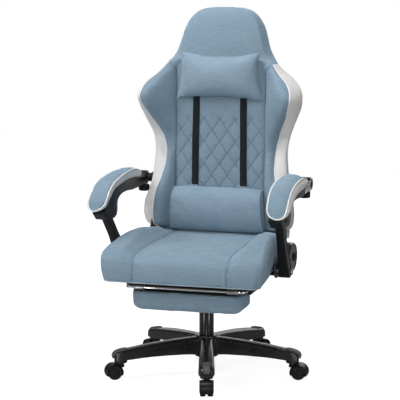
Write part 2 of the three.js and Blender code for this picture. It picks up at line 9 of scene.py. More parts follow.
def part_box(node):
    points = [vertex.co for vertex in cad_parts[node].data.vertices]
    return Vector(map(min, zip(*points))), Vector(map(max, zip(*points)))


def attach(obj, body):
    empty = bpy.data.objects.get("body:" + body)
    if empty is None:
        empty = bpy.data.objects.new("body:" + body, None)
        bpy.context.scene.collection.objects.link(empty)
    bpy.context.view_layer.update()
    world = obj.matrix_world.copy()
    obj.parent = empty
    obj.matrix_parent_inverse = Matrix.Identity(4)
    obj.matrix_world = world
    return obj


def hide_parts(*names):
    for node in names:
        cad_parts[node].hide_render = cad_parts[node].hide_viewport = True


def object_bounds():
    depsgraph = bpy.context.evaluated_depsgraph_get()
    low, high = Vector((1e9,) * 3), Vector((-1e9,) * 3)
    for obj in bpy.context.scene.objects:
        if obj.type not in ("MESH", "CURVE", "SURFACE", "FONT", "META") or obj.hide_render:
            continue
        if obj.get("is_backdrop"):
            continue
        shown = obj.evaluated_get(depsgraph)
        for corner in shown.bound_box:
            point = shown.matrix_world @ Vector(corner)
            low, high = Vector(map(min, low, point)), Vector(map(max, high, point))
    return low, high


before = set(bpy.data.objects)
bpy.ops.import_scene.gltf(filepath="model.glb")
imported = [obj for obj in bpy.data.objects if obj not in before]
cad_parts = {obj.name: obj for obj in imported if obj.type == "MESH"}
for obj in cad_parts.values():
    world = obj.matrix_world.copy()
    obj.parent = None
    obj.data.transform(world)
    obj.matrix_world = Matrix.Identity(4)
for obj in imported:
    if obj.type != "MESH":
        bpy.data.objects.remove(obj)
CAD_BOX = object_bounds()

scene = bpy.context.scene

# ------------------------------------------------------------------ places
# The chair is drawn about its gas column's axis, in millimetres, and moved to the frame here.
_lo, _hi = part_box("column_tube")
SHIFT = np.array([(_lo[0] + _hi[0]) / 2, (_lo[1] + _hi[1]) / 2, 0.0])


def P(x, y, z):
    return Vector((x / 1000 + SHIFT[0], y / 1000 + SHIFT[1], z / 1000))


def to_frame(v):
    return np.asarray(v, float) / 1000 + SHIFT


LEG = [-74 + 72 * k for k in range(5)]
RECLINE = (85.0, 400.0)
SIDES = (("left", 1.0), ("right", -1.0))

# ------------------------------------------------------------------ curves and number helpers


def smooth(t, a=0.0, b=1.0):
    t = np.clip((np.asarray(t, float) - a) / (b - a), 0, 1)
    return t * t * (3 - 2 * t)


def pchip(x, y, xi):
    """Monotone cubic through (x, y); y may have several columns."""
    x = np.asarray(x, float)
    y = np.asarray(y, float)
    one = y.ndim == 1
    if one:
        y = y[:, None]
    h = np.diff(x)
    d = np.diff(y, axis=0) / h[:, None]
    m = np.zeros_like(y)
    m[0], m[-1] = d[0], d[-1]
    for k in range(1, len(x) - 1):
        w1, w2 = 2 * h[k] + h[k - 1], h[k] + 2 * h[k - 1]
        same = d[k - 1] * d[k] > 0
        with np.errstate(divide="ignore", invalid="ignore"):
            v = (w1 + w2) / (w1 / d[k - 1] + w2 / d[k])
        m[k] = np.where(same, v, 0)
    xi = np.clip(np.asarray(xi, float), x[0], x[-1])
    k = np.clip(np.searchsorted(x, xi, side="right") - 1, 0, len(x) - 2)
    t = ((xi - x[k]) / h[k])[:, None]
    hk = h[k][:, None]
    r = ((1 + 2 * t) * (1 - t) ** 2 * y[k] + t * (1 - t) ** 2 * hk * m[k]
         + t * t * (3 - 2 * t) * y[k + 1] + t * t * (t - 1) * hk * m[k + 1])
    return r[:, 0] if one else r


def resample(p, n, closed=False):
    """n points evenly spaced along a polyline."""
    p = np.asarray(p, float)
    if closed:
        p = np.vstack([p, p[:1]])
    s = np.r_[0, np.cumsum(np.linalg.norm(np.diff(p, axis=0), axis=1))]
    t = np.linspace(0, s[-1], n + 1)[:-1] if closed else np.linspace(0, s[-1], n)
    return np.stack([np.interp(t, s, p[:, i]) for i in range(p.shape[1])], 1)


def crom(p, n, closed=False):
    """Centripetal Catmull-Rom through the points, resampled to n even points."""
    p = np.asarray(p, float)
    if closed:
        q = np.vstack([p[-1], p, p[0], p[1]])
    else:
        q = np.vstack([2 * p[0] - p[1], p, 2 * p[-1] - p[-2]])
    out = []
    for i in range(1, len(q) - 2):
        p0, p1, p2, p3 = q[i - 1:i + 3]
        t = [0.0]
        for a, b in ((p0, p1), (p1, p2), (p2, p3)):
            t.append(t[-1] + max(np.linalg.norm(b - a), 1e-6) ** 0.5)
        for u in np.linspace(t[1], t[2], 14, endpoint=False):
            a1 = (t[1] - u) / (t[1] - t[0]) * p0 + (u - t[0]) / (t[1] - t[0]) * p1
            a2 = (t[2] - u) / (t[2] - t[1]) * p1 + (u - t[1]) / (t[2] - t[1]) * p2
            a3 = (t[3] - u) / (t[3] - t[2]) * p2 + (u - t[2]) / (t[3] - t[2]) * p3
            b1 = (t[2] - u) / (t[2] - t[0]) * a1 + (u - t[0]) / (t[2] - t[0]) * a2
            b2 = (t[3] - u) / (t[3] - t[1]) * a2 + (u - t[1]) / (t[3] - t[1]) * a3
            out.append((t[2] - u) / (t[2] - t[1]) * b1 + (u - t[1]) / (t[2] - t[1]) * b2)
    if not closed:
        out.append(q[-2])
    return resample(out, n, closed)


def arc(cu, cv, r, a0, a1, n):
    a = np.radians(np.linspace(a0, a1, n))
    return np.stack([cu + r * np.cos(a), cv + r * np.sin(a)], 1)


def fillet(points, radii, n=6, closed=True):
    """Polygon with its corners rounded to the radii."""
    p = np.asarray(points, float)
    m = len(p)
    if np.isscalar(radii):
        radii = [radii] * m
    out = []
    for i in range(m):
        a, b, c = p[i - 1], p[i], p[(i + 1) % m]
        if not closed and i in (0, m - 1) or radii[i] <= 0:
            out.append(b)
            continue
        u, v = a - b, c - b
        lu, lv = np.linalg.norm(u), np.linalg.norm(v)
        u, v = u / lu, v / lv
        ang = math.acos(max(-1, min(1, float(u @ v))))
        if ang > math.pi - 0.02:
            out.append(b)
            continue
        d = min(radii[i] / math.tan(ang / 2), lu * 0.48, lv * 0.48)
        r = d * math.tan(ang / 2)
        cen = b + (u + v) / np.linalg.norm(u + v) * (r / math.sin(ang / 2))
        s, e = b + u * d - cen, b + v * d - cen
        a0, a1 = math.atan2(s[1], s[0]), math.atan2(e[1], e[0])
        da = (a1 - a0 + math.pi) % (2 * math.pi) - math.pi
        for t in np.linspace(0, 1, n):
            out.append(cen + r * np.array([math.cos(a0 + da * t), math.sin(a0 + da * t)]))
    return np.array(out)


# ------------------------------------------------------------------ mesh helpers


def link(o):
    scene.collection.objects.link(o)
    return o


def make(name, verts, faces, mats, smooth_faces=True, face_mats=None, uv=None, sharp=None):
    """Mesh object from millimetre points about the column axis."""
    me = bpy.data.meshes.new(name)
    me.from_pydata([tuple(v) for v in to_frame(verts)], [], [tuple(int(i) for i in f) for f in faces])
    mats = mats if isinstance(mats, (list, tuple)) else [mats]
    for m in mats:
        me.materials.append(m)
    if face_mats is not None:
        me.polygons.foreach_set("material_index", np.asarray(face_mats, np.int32))
    me.polygons.foreach_set("use_smooth", np.full(len(me.polygons), smooth_faces))
    if uv is not None:
        lay = me.uv_layers.new(name="cloth")
        idx = np.zeros(len(me.loops), np.int32)
        me.loops.foreach_get("vertex_index", idx)
        lay.data.foreach_set("uv", np.asarray(uv, np.float32)[idx].ravel())
    me.validate()
    me.update()
    bm = bmesh.new()
    bm.from_mesh(me)
    bmesh.ops.recalc_face_normals(bm, faces=bm.faces)
    if sharp is not None:
        for e in bm.edges:
            if len(e.link_faces) == 2 and e.calc_face_angle(0) > math.radians(sharp):
                e.smooth = False
    bm.to_mesh(me)
    bm.free()
    return link(bpy.data.objects.new(name, me))


def rings_mesh(rings, closed=True, caps=True):
    """(verts, faces) of a skin over rings of equal length; the caps are fans on a middle point."""
    rings = np.asarray(rings, float)
    k, n, _ = rings.shape
    verts = rings.reshape(-1, 3)
    faces = []
    m = n if closed else n - 1
    for r in range(k - 1):
        for i in range(m):
            j = (i + 1) % n
            faces.append((r * n + i, r * n + j, (r + 1) * n + j, (r + 1) * n + i))
    if caps:
        for base, flip in ((0, True), ((k - 1) * n, False)):
            c = verts[base:base + n].mean(0)
            ci = len(verts)
            verts = np.vstack([verts, c])
            for i in range(n):
                j = (i + 1) % n
                faces.append((base + j, base + i, ci) if flip else (base + i, base + j, ci))
    return verts, faces


def merge_parts(parts):
    """Joins several (verts, faces) into one."""
    vs, fs, o = [], [], 0
    for v, f in parts:
        v = np.asarray(v, float)
        vs.append(v)
        fs += [tuple(i + o for i in q) for q in f]
        o += len(v)
    return np.vstack(vs), fs


def lathe(profile, seg=64, centre=(0, 0, 0), axis="z"):
    """profile [radius, height], both ends on the axis, or closed on itself."""
    pr = np.asarray(profile, float)
    loop = np.allclose(pr[0], pr[-1])
    if loop:
        pr = pr[:-1]
    a = np.linspace(0, 2 * math.pi, seg, endpoint=False)
    verts, rows = [], []
    for r, h in pr:
        if r < 1e-6:
            rows.append([len(verts)])
            verts.append((0, 0, h))
        else:
            rows.append(list(range(len(verts), len(verts) + seg)))
            verts += [(r * math.cos(t), r * math.sin(t), h) for t in a]
    faces = []
    pairs = list(zip(rows, rows[1:])) + ([(rows[-1], rows[0])] if loop else [])
    for p, q in pairs:
        for i in range(seg):
            j = (i + 1) % seg
            if len(p) == 1 and len(q) == 1:
                continue
            if len(p) == 1:
                faces.append((p[0], q[i], q[j]))
            elif len(q) == 1:
                faces.append((p[i], q[0], p[j]))
            else:
                faces.append((p[i], q[i], q[j], p[j]))
    v = np.array(verts, float)
    if axis == "x":
        v = v[:, [2, 0, 1]]
    elif axis == "y":
        v = v[:, [1, 2, 0]]
    return v + np.asarray(centre, float), faces


def round_profile(pts, r, n=4):
    """Rounds the inner corners of an open lathe profile."""
    pts = [list(map(float, p)) for p in pts]
    rr = [0] + [r if np.isscalar(r) else r[i] for i in range(1, len(pts) - 1)] + [0]
    return fillet(pts, rr, n, closed=False)


def tube(path, radius, seg=12, closed=False, flat=None, up=None):
    """(verts, faces) of a round tube along a path. flat=(a, b) gives an oval section."""
    p = np.asarray(path, float)
    n = len(p)
    if closed:
        t = np.roll(p, -1, 0) - np.roll(p, 1, 0)
    else:
        t = np.gradient(p, axis=0)
    t /= np.linalg.norm(t, axis=1)[:, None]
    ref = np.array(up if up is not None else (0.13, 0.21, 0.97), float)
    u = np.zeros_like(p)
    v0 = np.cross(t[0], ref)
    if np.linalg.norm(v0) < 1e-3:
        v0 = np.cross(t[0], (1, 0, 0.1))
    u[0] = v0 / np.linalg.norm(v0)
    for i in range(1, n):
        q = (np.cross(t[i], ref) if up is not None else u[i - 1] - t[i] * (u[i - 1] @ t[i]))
        ln = np.linalg.norm(q)
        u[i] = q / ln if ln > 1e-6 else u[i - 1]
    w = np.cross(t, u)
    ra, rb = flat if flat else (radius, radius)
    rad = np.ones(n) if np.isscalar(radius) or flat else np.asarray(radius, float)
    if not np.isscalar(ra):
        ra = rb = 1.0
    a = np.linspace(0, 2 * math.pi, seg, endpoint=False)
    rings = p[:, None] + (u[:, None] * (ra * np.cos(a))[None, :, None] + w[:, None] * (rb * np.sin(a))[None, :, None]) * rad[:, None, None]
    if closed:
        verts = rings.reshape(-1, 3)
        faces = []
        for r in range(n):
            s = (r + 1) % n
            for i in range(seg):
                j = (i + 1) % seg
                faces.append((r * seg + i, r * seg + j, s * seg + j, s * seg + i))
        return verts, faces
    return rings_mesh(rings)


def add_bevel(o, width, segments=3, angle=35, harden=True):
    b = o.modifiers.new("edge", "BEVEL")
    b.width = width / 1000
    b.segments = segments
    b.limit_method = "ANGLE"
    b.angle_limit = math.radians(angle)
    b.harden_normals = harden
    b.use_clamp_overlap = True
    return o


def apply_modifiers(o):
    dg = bpy.context.evaluated_depsgraph_get()
    me = bpy.data.meshes.new_from_object(o.evaluated_get(dg), preserve_all_data_layers=True, depsgraph=dg)
    old = o.data
    o.modifiers.clear()
    o.data = me
    bpy.data.meshes.remove(old)
    return o


def prism(name, outline, lo, hi, mats, axis="x", bevel=2.0, seg=3, lean=None, inset=None):
    """Outline in the plane square to the axis, drawn out from lo to hi, with rounded edges.
    inset=(margin, depth, side) presses a shallow panel into one face."""
    pts = np.asarray(outline, float)
    bm = bmesh.new()
    def vert(u, v, w):
        return {"x": (w, u, v), "y": (u, w, v), "z": (u, v, w)}[axis]
    low = [bm.verts.new(vert(u, v, lo)) for u, v in pts]
    top = [bm.verts.new(vert(u, v, hi)) for u, v in pts]
    n = len(pts)
    f0 = bm.faces.new(low)
    f1 = bm.faces.new(top)
    for i in range(n):
        j = (i + 1) % n
        bm.faces.new((low[i], low[j], top[j], top[i]))
    bmesh.ops.recalc_face_normals(bm, faces=bm.faces)
    rim = [e for e in bm.edges if (e in f0.edges or e in f1.edges)]
    if inset:
        margin, depth, side = inset
        for f in ([f0] if side <= 0 else []) + ([f1] if side >= 0 else []):
            bmesh.ops.inset_region(bm, faces=[f], thickness=margin, depth=0, use_even_offset=True)
            r = bmesh.ops.inset_region(bm, faces=[f], thickness=depth * 0.8, depth=-depth, use_even_offset=True)
    if bevel:
        rim = [e for e in rim if e.is_valid]
        bmesh.ops.bevel(bm, geom=rim, offset=bevel, segments=seg, profile=0.5, affect="EDGES", clamp_overlap=True)
    bmesh.ops.triangulate(bm, faces=[f for f in bm.faces if len(f.verts) > 4])
    if lean:
        for v in bm.verts:
            v.co = Vector(lean(*v.co))
    for v in bm.verts:
        v.co = Vector(to_frame(v.co))
    me = bpy.data.meshes.new(name)
    for m in (mats if isinstance(mats, (list, tuple)) else [mats]):
        me.materials.append(m)
    for e in bm.edges:
        if len(e.link_faces) == 2 and e.calc_face_angle(0) > math.radians(38):
            e.smooth = False
    for f in bm.faces:
        f.smooth = True
    bmesh.ops.recalc_face_normals(bm, faces=bm.faces)
    bm.to_mesh(me)
    bm.free()
    return link(bpy.data.objects.new(name, me))


def join(name, objects):
    """One object out of several, with their materials."""
    bpy.ops.object.select_all(action="DESELECT")
    for o in objects:
        o.select_set(True)
    bpy.context.view_layer.objects.active = objects[0]
    bpy.ops.object.join()
    o = bpy.context.view_layer.objects.active
    o.name = name
    o.data.name = name
    return o


def place(o, body, nodes=()):
    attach(o, body)
    if nodes:
        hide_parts(*nodes)
    return o


def puff(verts, faces, pins, pressure=4.0, cap=8.0, frames=20, bend=0.5, tension=15.0, tag="pad"):
    """Inflates a closed skin with Cloth and returns the moved points, all in millimetres. pins is a weight for each point."""
    me = bpy.data.meshes.new(tag)
    me.from_pydata([tuple(v) for v in to_frame(verts)], [], [tuple(int(i) for i in f) for f in faces])
    me.update()
    bm = bmesh.new()
    bm.from_mesh(me)
    bmesh.ops.recalc_face_normals(bm, faces=bm.faces)
    bm.to_mesh(me)
    bm.free()
    o = link(bpy.data.objects.new(tag, me))
    g = o.vertex_groups.new(name="pin")
    pins = np.asarray(pins, float)
    for w in np.unique(np.round(pins, 2)):
        if w > 0:
            g.add([int(i) for i in np.nonzero(np.round(pins, 2) == w)[0]], float(w), "REPLACE")
    c = o.modifiers.new("cloth", "CLOTH")
    s = c.settings
    s.quality = 5
    s.mass = 0.3
    s.tension_stiffness = s.compression_stiffness = tension
    s.shear_stiffness = tension * 0.4
    s.bending_stiffness = bend
    s.use_pressure = True
    s.uniform_pressure_force = pressure
    s.effector_weights.gravity = 0
    if pins.any():
        s.vertex_group_mass = "pin"
    c.collision_settings.use_collision = False
    c.collision_settings.use_self_collision = False
    c.point_cache.frame_start = 1
    c.point_cache.frame_end = frames
    for f in range(1, frames + 1):
        scene.frame_set(f)
    dg = bpy.context.evaluated_depsgraph_get()
    e = o.evaluated_get(dg)
    out = np.zeros(len(verts) * 3)
    e.data.vertices.foreach_get("co", out)
    out = (out.reshape(-1, 3) - SHIFT) * 1000
    scene.frame_set(1)
    bpy.data.objects.remove(o)
    d = out - verts
    # air never draws the skin inwards
    on = outward(verts, faces)
    d = d - on * np.minimum((d * on).sum(1), 0)[:, None]
    ln = np.linalg.norm(d, axis=1)
    print("puff", tag, "points", len(verts), "move mean %.1f max %.1f mm" % (ln.mean(), ln.max()))
    soft = cap * np.tanh(ln / cap) / np.maximum(ln, 1e-9)
    return verts + d * soft[:, None]


def vertex_normals(verts, faces):
    v = np.asarray(verts, float)
    n = np.zeros_like(v)
    f4 = np.array([f for f in faces if len(f) == 4])
    f3 = np.array([f for f in faces if len(f) == 3])
    if len(f4):
        c = np.cross(v[f4[:, 2]] - v[f4[:, 0]], v[f4[:, 3]] - v[f4[:, 1]])
        for i in range(4):
            np.add.at(n, f4[:, i], c)
    if len(f3):
        c = np.cross(v[f3[:, 1]] - v[f3[:, 0]], v[f3[:, 2]] - v[f3[:, 0]])
        for i in range(3):
            np.add.at(n, f3[:, i], c)
    return n / np.maximum(np.linalg.norm(n, axis=1), 1e-9)[:, None]


# ------------------------------------------------------------------ materials
def srgb(h):
    c = [int(h[i:i + 2], 16) / 255 for i in (0, 2, 4)]
    return tuple(x / 12.92 if x <= 0.04045 else ((x + 0.055) / 1.055) ** 2.4 for x in c) + (1.0,)


class Nodes:
    """Short words for building a node tree."""

    def __init__(self, name):
        self.mat = bpy.data.materials.new(name)
        self.mat.use_nodes = True
        self.nt = self.mat.node_tree
        self.nt.nodes.clear()
        self.out = self.nt.nodes.new("ShaderNodeOutputMaterial")
        self.bsdf = self.nt.nodes.new("ShaderNodeBsdfPrincipled")
        self.nt.links.new(self.bsdf.outputs[0], self.out.inputs[0])

    def node(self, kind, **props):
        n = self.nt.nodes.new(kind)
        for k, v in props.items():
            setattr(n, k, v)
        return n

    def put(self, sock, v):
        if isinstance(v, bpy.types.NodeSocket):
            self.nt.links.new(v, sock)
        elif v is not None:
            sock.default_value = v

    def math(self, op, a, b=None, c=None, clamp=False):
        n = self.node("ShaderNodeMath", operation=op, use_clamp=clamp)
        for i, v in enumerate((a, b, c)):
            if v is not None:
                self.put(n.inputs[i], v)
        return n.outputs[0]

    def vmath(self, op, a, b=None, scale=None):
        n = self.node("ShaderNodeVectorMath", operation=op)
        self.put(n.inputs[0], a)
        if b is not None:
            self.put(n.inputs[1], b)
        if scale is not None:
            self.put(n.inputs["Scale"], scale)
        return n.outputs[0]

    def xyz(self, v):
        n = self.node("ShaderNodeSeparateXYZ")
        self.put(n.inputs[0], v)
        return n.outputs[0], n.outputs[1], n.outputs[2]

    def vec(self, x, y, z):
        n = self.node("ShaderNodeCombineXYZ")
        for i, v in enumerate((x, y, z)):
            self.put(n.inputs[i], v)
        return n.outputs[0]

    def noise(self, vector, scale, detail=2.0, rough=0.5, distortion=0.0):
        n = self.node("ShaderNodeTexNoise")
        self.put(n.inputs["Vector"], vector)
        self.put(n.inputs["Scale"], scale)
        self.put(n.inputs["Detail"], detail)
        self.put(n.inputs["Roughness"], rough)
        self.put(n.inputs["Distortion"], distortion)
        return n.outputs["Fac"] if "Fac" in n.outputs else n.outputs[0]

    def voronoi(self, vector, scale, feature="F1"):
        n = self.node("ShaderNodeTexVoronoi", feature=feature)
        self.put(n.inputs["Vector"], vector)
        self.put(n.inputs["Scale"], scale)
        return n.outputs["Distance"]

    def mix(self, fac, a, b):
        n = self.node("ShaderNodeMix", data_type="RGBA")
        self.put(n.inputs[0], fac)
        self.put(n.inputs[6], a)
        self.put(n.inputs[7], b)
        return n.outputs[2]

    def remap(self, v, a, b, c=0.0, d=1.0):
        n = self.node("ShaderNodeMapRange")
        n.clamp = True
        for i, q in enumerate((v, a, b, c, d)):
            self.put(n.inputs[i], q)
        return n.outputs[0]

    def attr(self, name):
        n = self.node("ShaderNodeAttribute", attribute_type="GEOMETRY", attribute_name=name)
        return n.outputs["Fac"]

    def bump(self, height, strength, distance, normal=None):
        n = self.node("ShaderNodeBump")
        self.put(n.inputs["Strength"], strength)
        self.put(n.inputs["Distance"], distance)
        self.put(n.inputs["Height"], height)
        if normal is not None:
            self.put(n.inputs["Normal"], normal)
        return n.outputs[0]

    def coords(self):
        t = self.node("ShaderNodeTexCoord")
        return t.outputs["Object"], t.outputs["Normal"]

    def pointiness(self):
        return self.node("ShaderNodeNewGeometry").outputs["Pointiness"]

    def set(self, **kw):
        for k, v in kw.items():
            self.put(self.bsdf.inputs[k.replace("_", " ")], v)
        return self


def plane_weights(m, normal):
    """How much a point faces each axis, as three shares that add up to one."""
    n = m.xyz(normal)
    p = [m.math("POWER", m.math("ABSOLUTE", c), 6.0) for c in n]
    s = m.math("ADD", m.math("ADD", p[0], p[1]), m.math("ADD", p[2], 1e-4))
    return [m.math("DIVIDE", c, s) for c in p]


def cloth(name, base, dark, light, pitch=0.0011, sheen=0.35, slub=0.5, rough=0.92, bump=0.35, heather=1.0):
    """Plain-woven heathered upholstery cloth: threads over and under at their real pitch, slubs along both thread
    directions, slow changes of tone, and painted shade darkening the cloth down in the seams."""
    m = Nodes(name)
    pos, nor = m.coords()
    w = plane_weights(m, nor)
    x, y, z = m.xyz(pos)
    k = 2 * math.pi / pitch
    sx, sy, sz = (m.math("SINE", m.math("MULTIPLY", c, k)) for c in (x, y, z))
    hx = m.math("MULTIPLY", sy, sz)
    hy = m.math("MULTIPLY", sx, sz)
    hz = m.math("MULTIPLY", sx, sy)
    weave = m.math("ADD", m.math("ADD", m.math("MULTIPLY", w[0], hx), m.math("MULTIPLY", w[1], hy)), m.math("MULTIPLY", w[2], hz))
    # slubs: noise drawn out along the threads
    along = m.noise(m.vmath("MULTIPLY", pos, (90.0, 90.0, 1400.0)), 1.0, 2.0, 0.6)
    across = m.noise(m.vmath("MULTIPLY", pos, (1300.0, 1300.0, 80.0)), 1.0, 2.0, 0.6)
    thread = m.math("ADD", m.math("MULTIPLY", along, 0.55), m.math("MULTIPLY", across, 0.45))
    slow = m.noise(pos, 7.0, 3.0, 0.55)
    fleck = m.noise(pos, 900.0, 1.0, 0.5)
    tone = m.math("ADD", m.math("MULTIPLY", m.remap(thread, 0.32, 0.68), slub), m.math("MULTIPLY", m.remap(fleck, 0.3, 0.7), 1 - slub))
    col = m.mix(tone, dark, light)
    col = m.mix(m.math("MULTIPLY", m.remap(weave, -1.0, 0.2, 1.0, 0.0), 0.30), col, tuple(c * 0.62 for c in dark[:3]) + (1,))
    col = m.mix(0.45, col, base)
    col = m.mix(m.remap(slow, 0.35, 0.7, 0.0, 0.16), col, dark)
    streak = m.math("ADD", m.math("MULTIPLY", m.noise(m.vmath("MULTIPLY", pos, (34.0, 34.0, 330.0)), 1.0, 2.0, 0.6), 0.6), m.math("MULTIPLY", m.noise(pos, 170.0, 3.0, 0.7), 0.4))
    col = m.mix(m.remap(streak, 0.40, 0.52, 0.17 * heather, 0.0), col, tuple(c * 0.80 for c in dark[:3]) + (1,))
    col = m.mix(m.remap(streak, 0.50, 0.62, 0.0, 0.13 * heather), col, tuple(min(1.0, c * 1.12) for c in light[:3]) + (1,))
    # painted shade: the cloth is darkened down in seam grooves, quilting lines and knots, as much as the skin's point
    # attribute says
    col = m.mix(m.math("MULTIPLY", m.attr("seam_shade"), 0.55), col, tuple(c * 0.35 for c in dark[:3]) + (1,))
    edge = m.remap(m.pointiness(), 0.52, 0.60, 0.0, 0.22)
    col = m.mix(edge, col, light)
    height = m.math("ADD", m.math("MULTIPLY", weave, 0.5), m.math("MULTIPLY", thread, 1.1))
    m.put(m.bsdf.inputs["Normal"], m.bump(height, bump, 0.0006))
    m.put(m.bsdf.inputs["Base Color"], col)
    m.put(m.bsdf.inputs["Roughness"], m.remap(thread, 0.3, 0.7, rough + 0.05, rough - 0.06))
    m.bsdf.inputs["Sheen Weight"].default_value = sheen
    m.bsdf.inputs["Sheen Roughness"].default_value = 0.45
    m.bsdf.inputs["Sheen Tint"].default_value = tuple(min(1.0, c * 1.6 + 0.1) for c in light[:3]) + (1,)
    m.bsdf.inputs["Specular IOR Level"].default_value = 0.25
    return m.mat


def moulded(name, base, rough=0.38, grain=0.25, scuff=0.12, coat=0.0, spec=0.5, lift=0.02):
    """Injection-moulded plastic: fine spark-eroded grain, faint flow marks, and edges rubbed a little brighter."""
    m = Nodes(name)
    pos, nor = m.coords()
    g = m.noise(pos, 1500.0, 2.0, 0.6)
    flow = m.noise(m.vmath("MULTIPLY", pos, (14.0, 14.0, 30.0)), 1.0, 3.0, 0.5, 0.4)
    dust = m.noise(pos, 60.0, 4.0, 0.65)
    col = m.mix(m.remap(flow, 0.35, 0.7, 0.0, 0.5), base, tuple(c + lift for c in base[:3]) + (1,))
    col = m.mix(m.remap(m.pointiness(), 0.53, 0.62, 0.0, scuff * 3), col, tuple(c * 2.2 + 0.05 for c in base[:3]) + (1,))
    m.put(m.bsdf.inputs["Base Color"], col)
    m.put(m.bsdf.inputs["Roughness"], m.math("ADD", m.remap(dust, 0.3, 0.75, rough - 0.05, rough + 0.09), m.math("MULTIPLY", g, 0.05)))
    m.put(m.bsdf.inputs["Normal"], m.bump(g, grain, 0.00012))
    m.bsdf.inputs["Coat Weight"].default_value = coat
    m.bsdf.inputs["Coat Roughness"].default_value = 0.12
    m.bsdf.inputs["Specular IOR Level"].default_value = spec
    return m.mat


def coated_metal(name, base, rough=0.35, orange=0.25, metallic=0.0, spec=0.3):
    """Powder coat: a slight orange-peel surface with worn edges."""
    m = Nodes(name)
    pos, nor = m.coords()
    peel = m.noise(pos, 420.0, 2.0, 0.5)
    spot = m.noise(pos, 45.0, 5.0, 0.7)
    col = m.mix(m.remap(spot, 0.45, 0.75, 0.0, 0.35), base, tuple(c * 1.5 + 0.01 for c in base[:3]) + (1,))
    col = m.mix(m.remap(m.pointiness(), 0.55, 0.66, 0.0, 0.4), col, (0.20, 0.20, 0.21, 1))
    m.put(m.bsdf.inputs["Base Color"], col)
    m.put(m.bsdf.inputs["Roughness"], m.remap(spot, 0.3, 0.7, rough - 0.06, rough + 0.08))
    m.put(m.bsdf.inputs["Normal"], m.bump(peel, orange, 0.0002))
    m.bsdf.inputs["Metallic"].default_value = metallic
    m.bsdf.inputs["Specular IOR Level"].default_value = spec
    return m.mat


def bright_metal(name, base, rough=0.2, brushed=(600.0, 600.0, 40.0), grain=0.12, smudge=0.1):
    """Bare or plated metal with fine drawing marks and faint handling marks in its gloss."""
    m = Nodes(name)
    pos, nor = m.coords()
    b = m.noise(m.vmath("MULTIPLY", pos, brushed), 1.0, 2.0, 0.5)
    s = m.noise(pos, 38.0, 4.0, 0.6)
    m.put(m.bsdf.inputs["Base Color"], m.mix(m.remap(s, 0.35, 0.75, 0.0, 0.25), base, tuple(c * 0.78 for c in base[:3]) + (1,)))
    m.put(m.bsdf.inputs["Roughness"], m.math("ADD", m.remap(s, 0.3, 0.7, rough, rough + smudge), m.math("MULTIPLY", b, 0.04)))
    m.put(m.bsdf.inputs["Normal"], m.bump(b, grain, 0.00005))
    m.bsdf.inputs["Metallic"].default_value = 1.0
    return m.mat


def webbing(name, base, light):
    """Woven strap: ribs across and a chevron of warp threads along."""
    m = Nodes(name)
    pos, nor = m.coords()
    x, y, z = m.xyz(pos)
    warp = m.math("SINE", m.math("MULTIPLY", m.math("ADD", z, m.math("MULTIPLY", m.math("PINGPONG", x, 0.003), 0.8)), 2 * math.pi / 0.0017))
    rib = m.math("SINE", m.math("MULTIPLY", x, 2 * math.pi / 0.0013))
    h = m.math("ADD", m.math("MULTIPLY", warp, 0.6), m.math("MULTIPLY", rib, 0.4))
    f = m.noise(pos, 700.0, 2.0, 0.5)
    col = m.mix(m.remap(m.math("ADD", h, m.math("MULTIPLY", f, 0.8)), -0.4, 1.4), base, light)
    m.put(m.bsdf.inputs["Base Color"], col)
    m.bsdf.inputs["Roughness"].default_value = 0.75
    m.put(m.bsdf.inputs["Normal"], m.bump(h, 0.5, 0.0004))
    m.bsdf.inputs["Sheen Weight"].default_value = 0.03
    m.bsdf.inputs["Specular IOR Level"].default_value = 0.2
    return m.mat


def plywood(name):
    m = Nodes(name)
    pos, nor = m.coords()
    x, y, z = m.xyz(pos)
    n = m.noise(m.vmath("MULTIPLY", pos, (60.0, 5.0, 60.0)), 1.0, 4.0, 0.6, 0.3)
    ply = m.math("SINE", m.math("MULTIPLY", z, 2 * math.pi / 0.0036))
    ray = m.noise(m.vmath("MULTIPLY", pos, (900.0, 60.0, 900.0)), 1.0, 2.0, 0.5)
    w = plane_weights(m, nor)
    side = m.math("SUBTRACT", 1.0, w[2])
    col = m.mix(m.remap(n, 0.3, 0.7), srgb("8c6a45"), srgb("b99262"))
    col = m.mix(m.math("MULTIPLY", side, m.remap(ply, -0.2, 0.3)), col, srgb("6b4a2e"))
    m.put(m.bsdf.inputs["Base Color"], col)
    m.put(m.bsdf.inputs["Roughness"], m.remap(ray, 0.3, 0.7, 0.62, 0.8))
    m.put(m.bsdf.inputs["Normal"], m.bump(m.math("ADD", ray, n), 0.2, 0.0003))
    return m.mat


BLUE = cloth("blue_cloth", srgb("7b91a1"), srgb("667d8e"), srgb("91a6b4"))
PILLOW = cloth("blue_pillow_cloth", srgb("8297a7"), srgb("6e8496"), srgb("96aab8"))
TRIM = cloth("grey_binding", srgb("9fb0bd"), srgb("8c9dab"), srgb("b4c3ce"), pitch=0.0012, sheen=0.2, slub=0.3, heather=0.2)
WHITE = cloth("white_side_cloth", srgb("dddcdb"), srgb("c8c6c4"), srgb("efeeec"), pitch=0.0014, sheen=0.15, slub=0.3, bump=0.25, heather=0.2)
PIPING = cloth("white_piping", srgb("e6e5e4"), srgb("d5d3d1"), srgb("f5f4f2"), pitch=0.0012, sheen=0.1, slub=0.3, bump=0.2, heather=0.2)
THREAD = cloth("blue_thread", srgb("6c8294"), srgb("5a7082"), srgb("8096a6"), pitch=0.0007, sheen=0.4, slub=0.3)
LINING = cloth("black_underside_cloth", srgb("26282a"), srgb("1b1c1e"), srgb("34373a"), pitch=0.0016, sheen=0.1, slub=0.3)
STRAP = webbing("black_webbing", srgb("0e0f10"), srgb("202325"))
NYLON = moulded("black_nylon", srgb("0f1011"), rough=0.32, grain=0.2, coat=0.05, spec=0.25, lift=0.002, scuff=0.04)
LEG_BLACK = moulded("black_leg_moulding", srgb("0b0c0c"), rough=0.27, grain=0.12, coat=0.10, spec=0.5, lift=0.002, scuff=0.04)
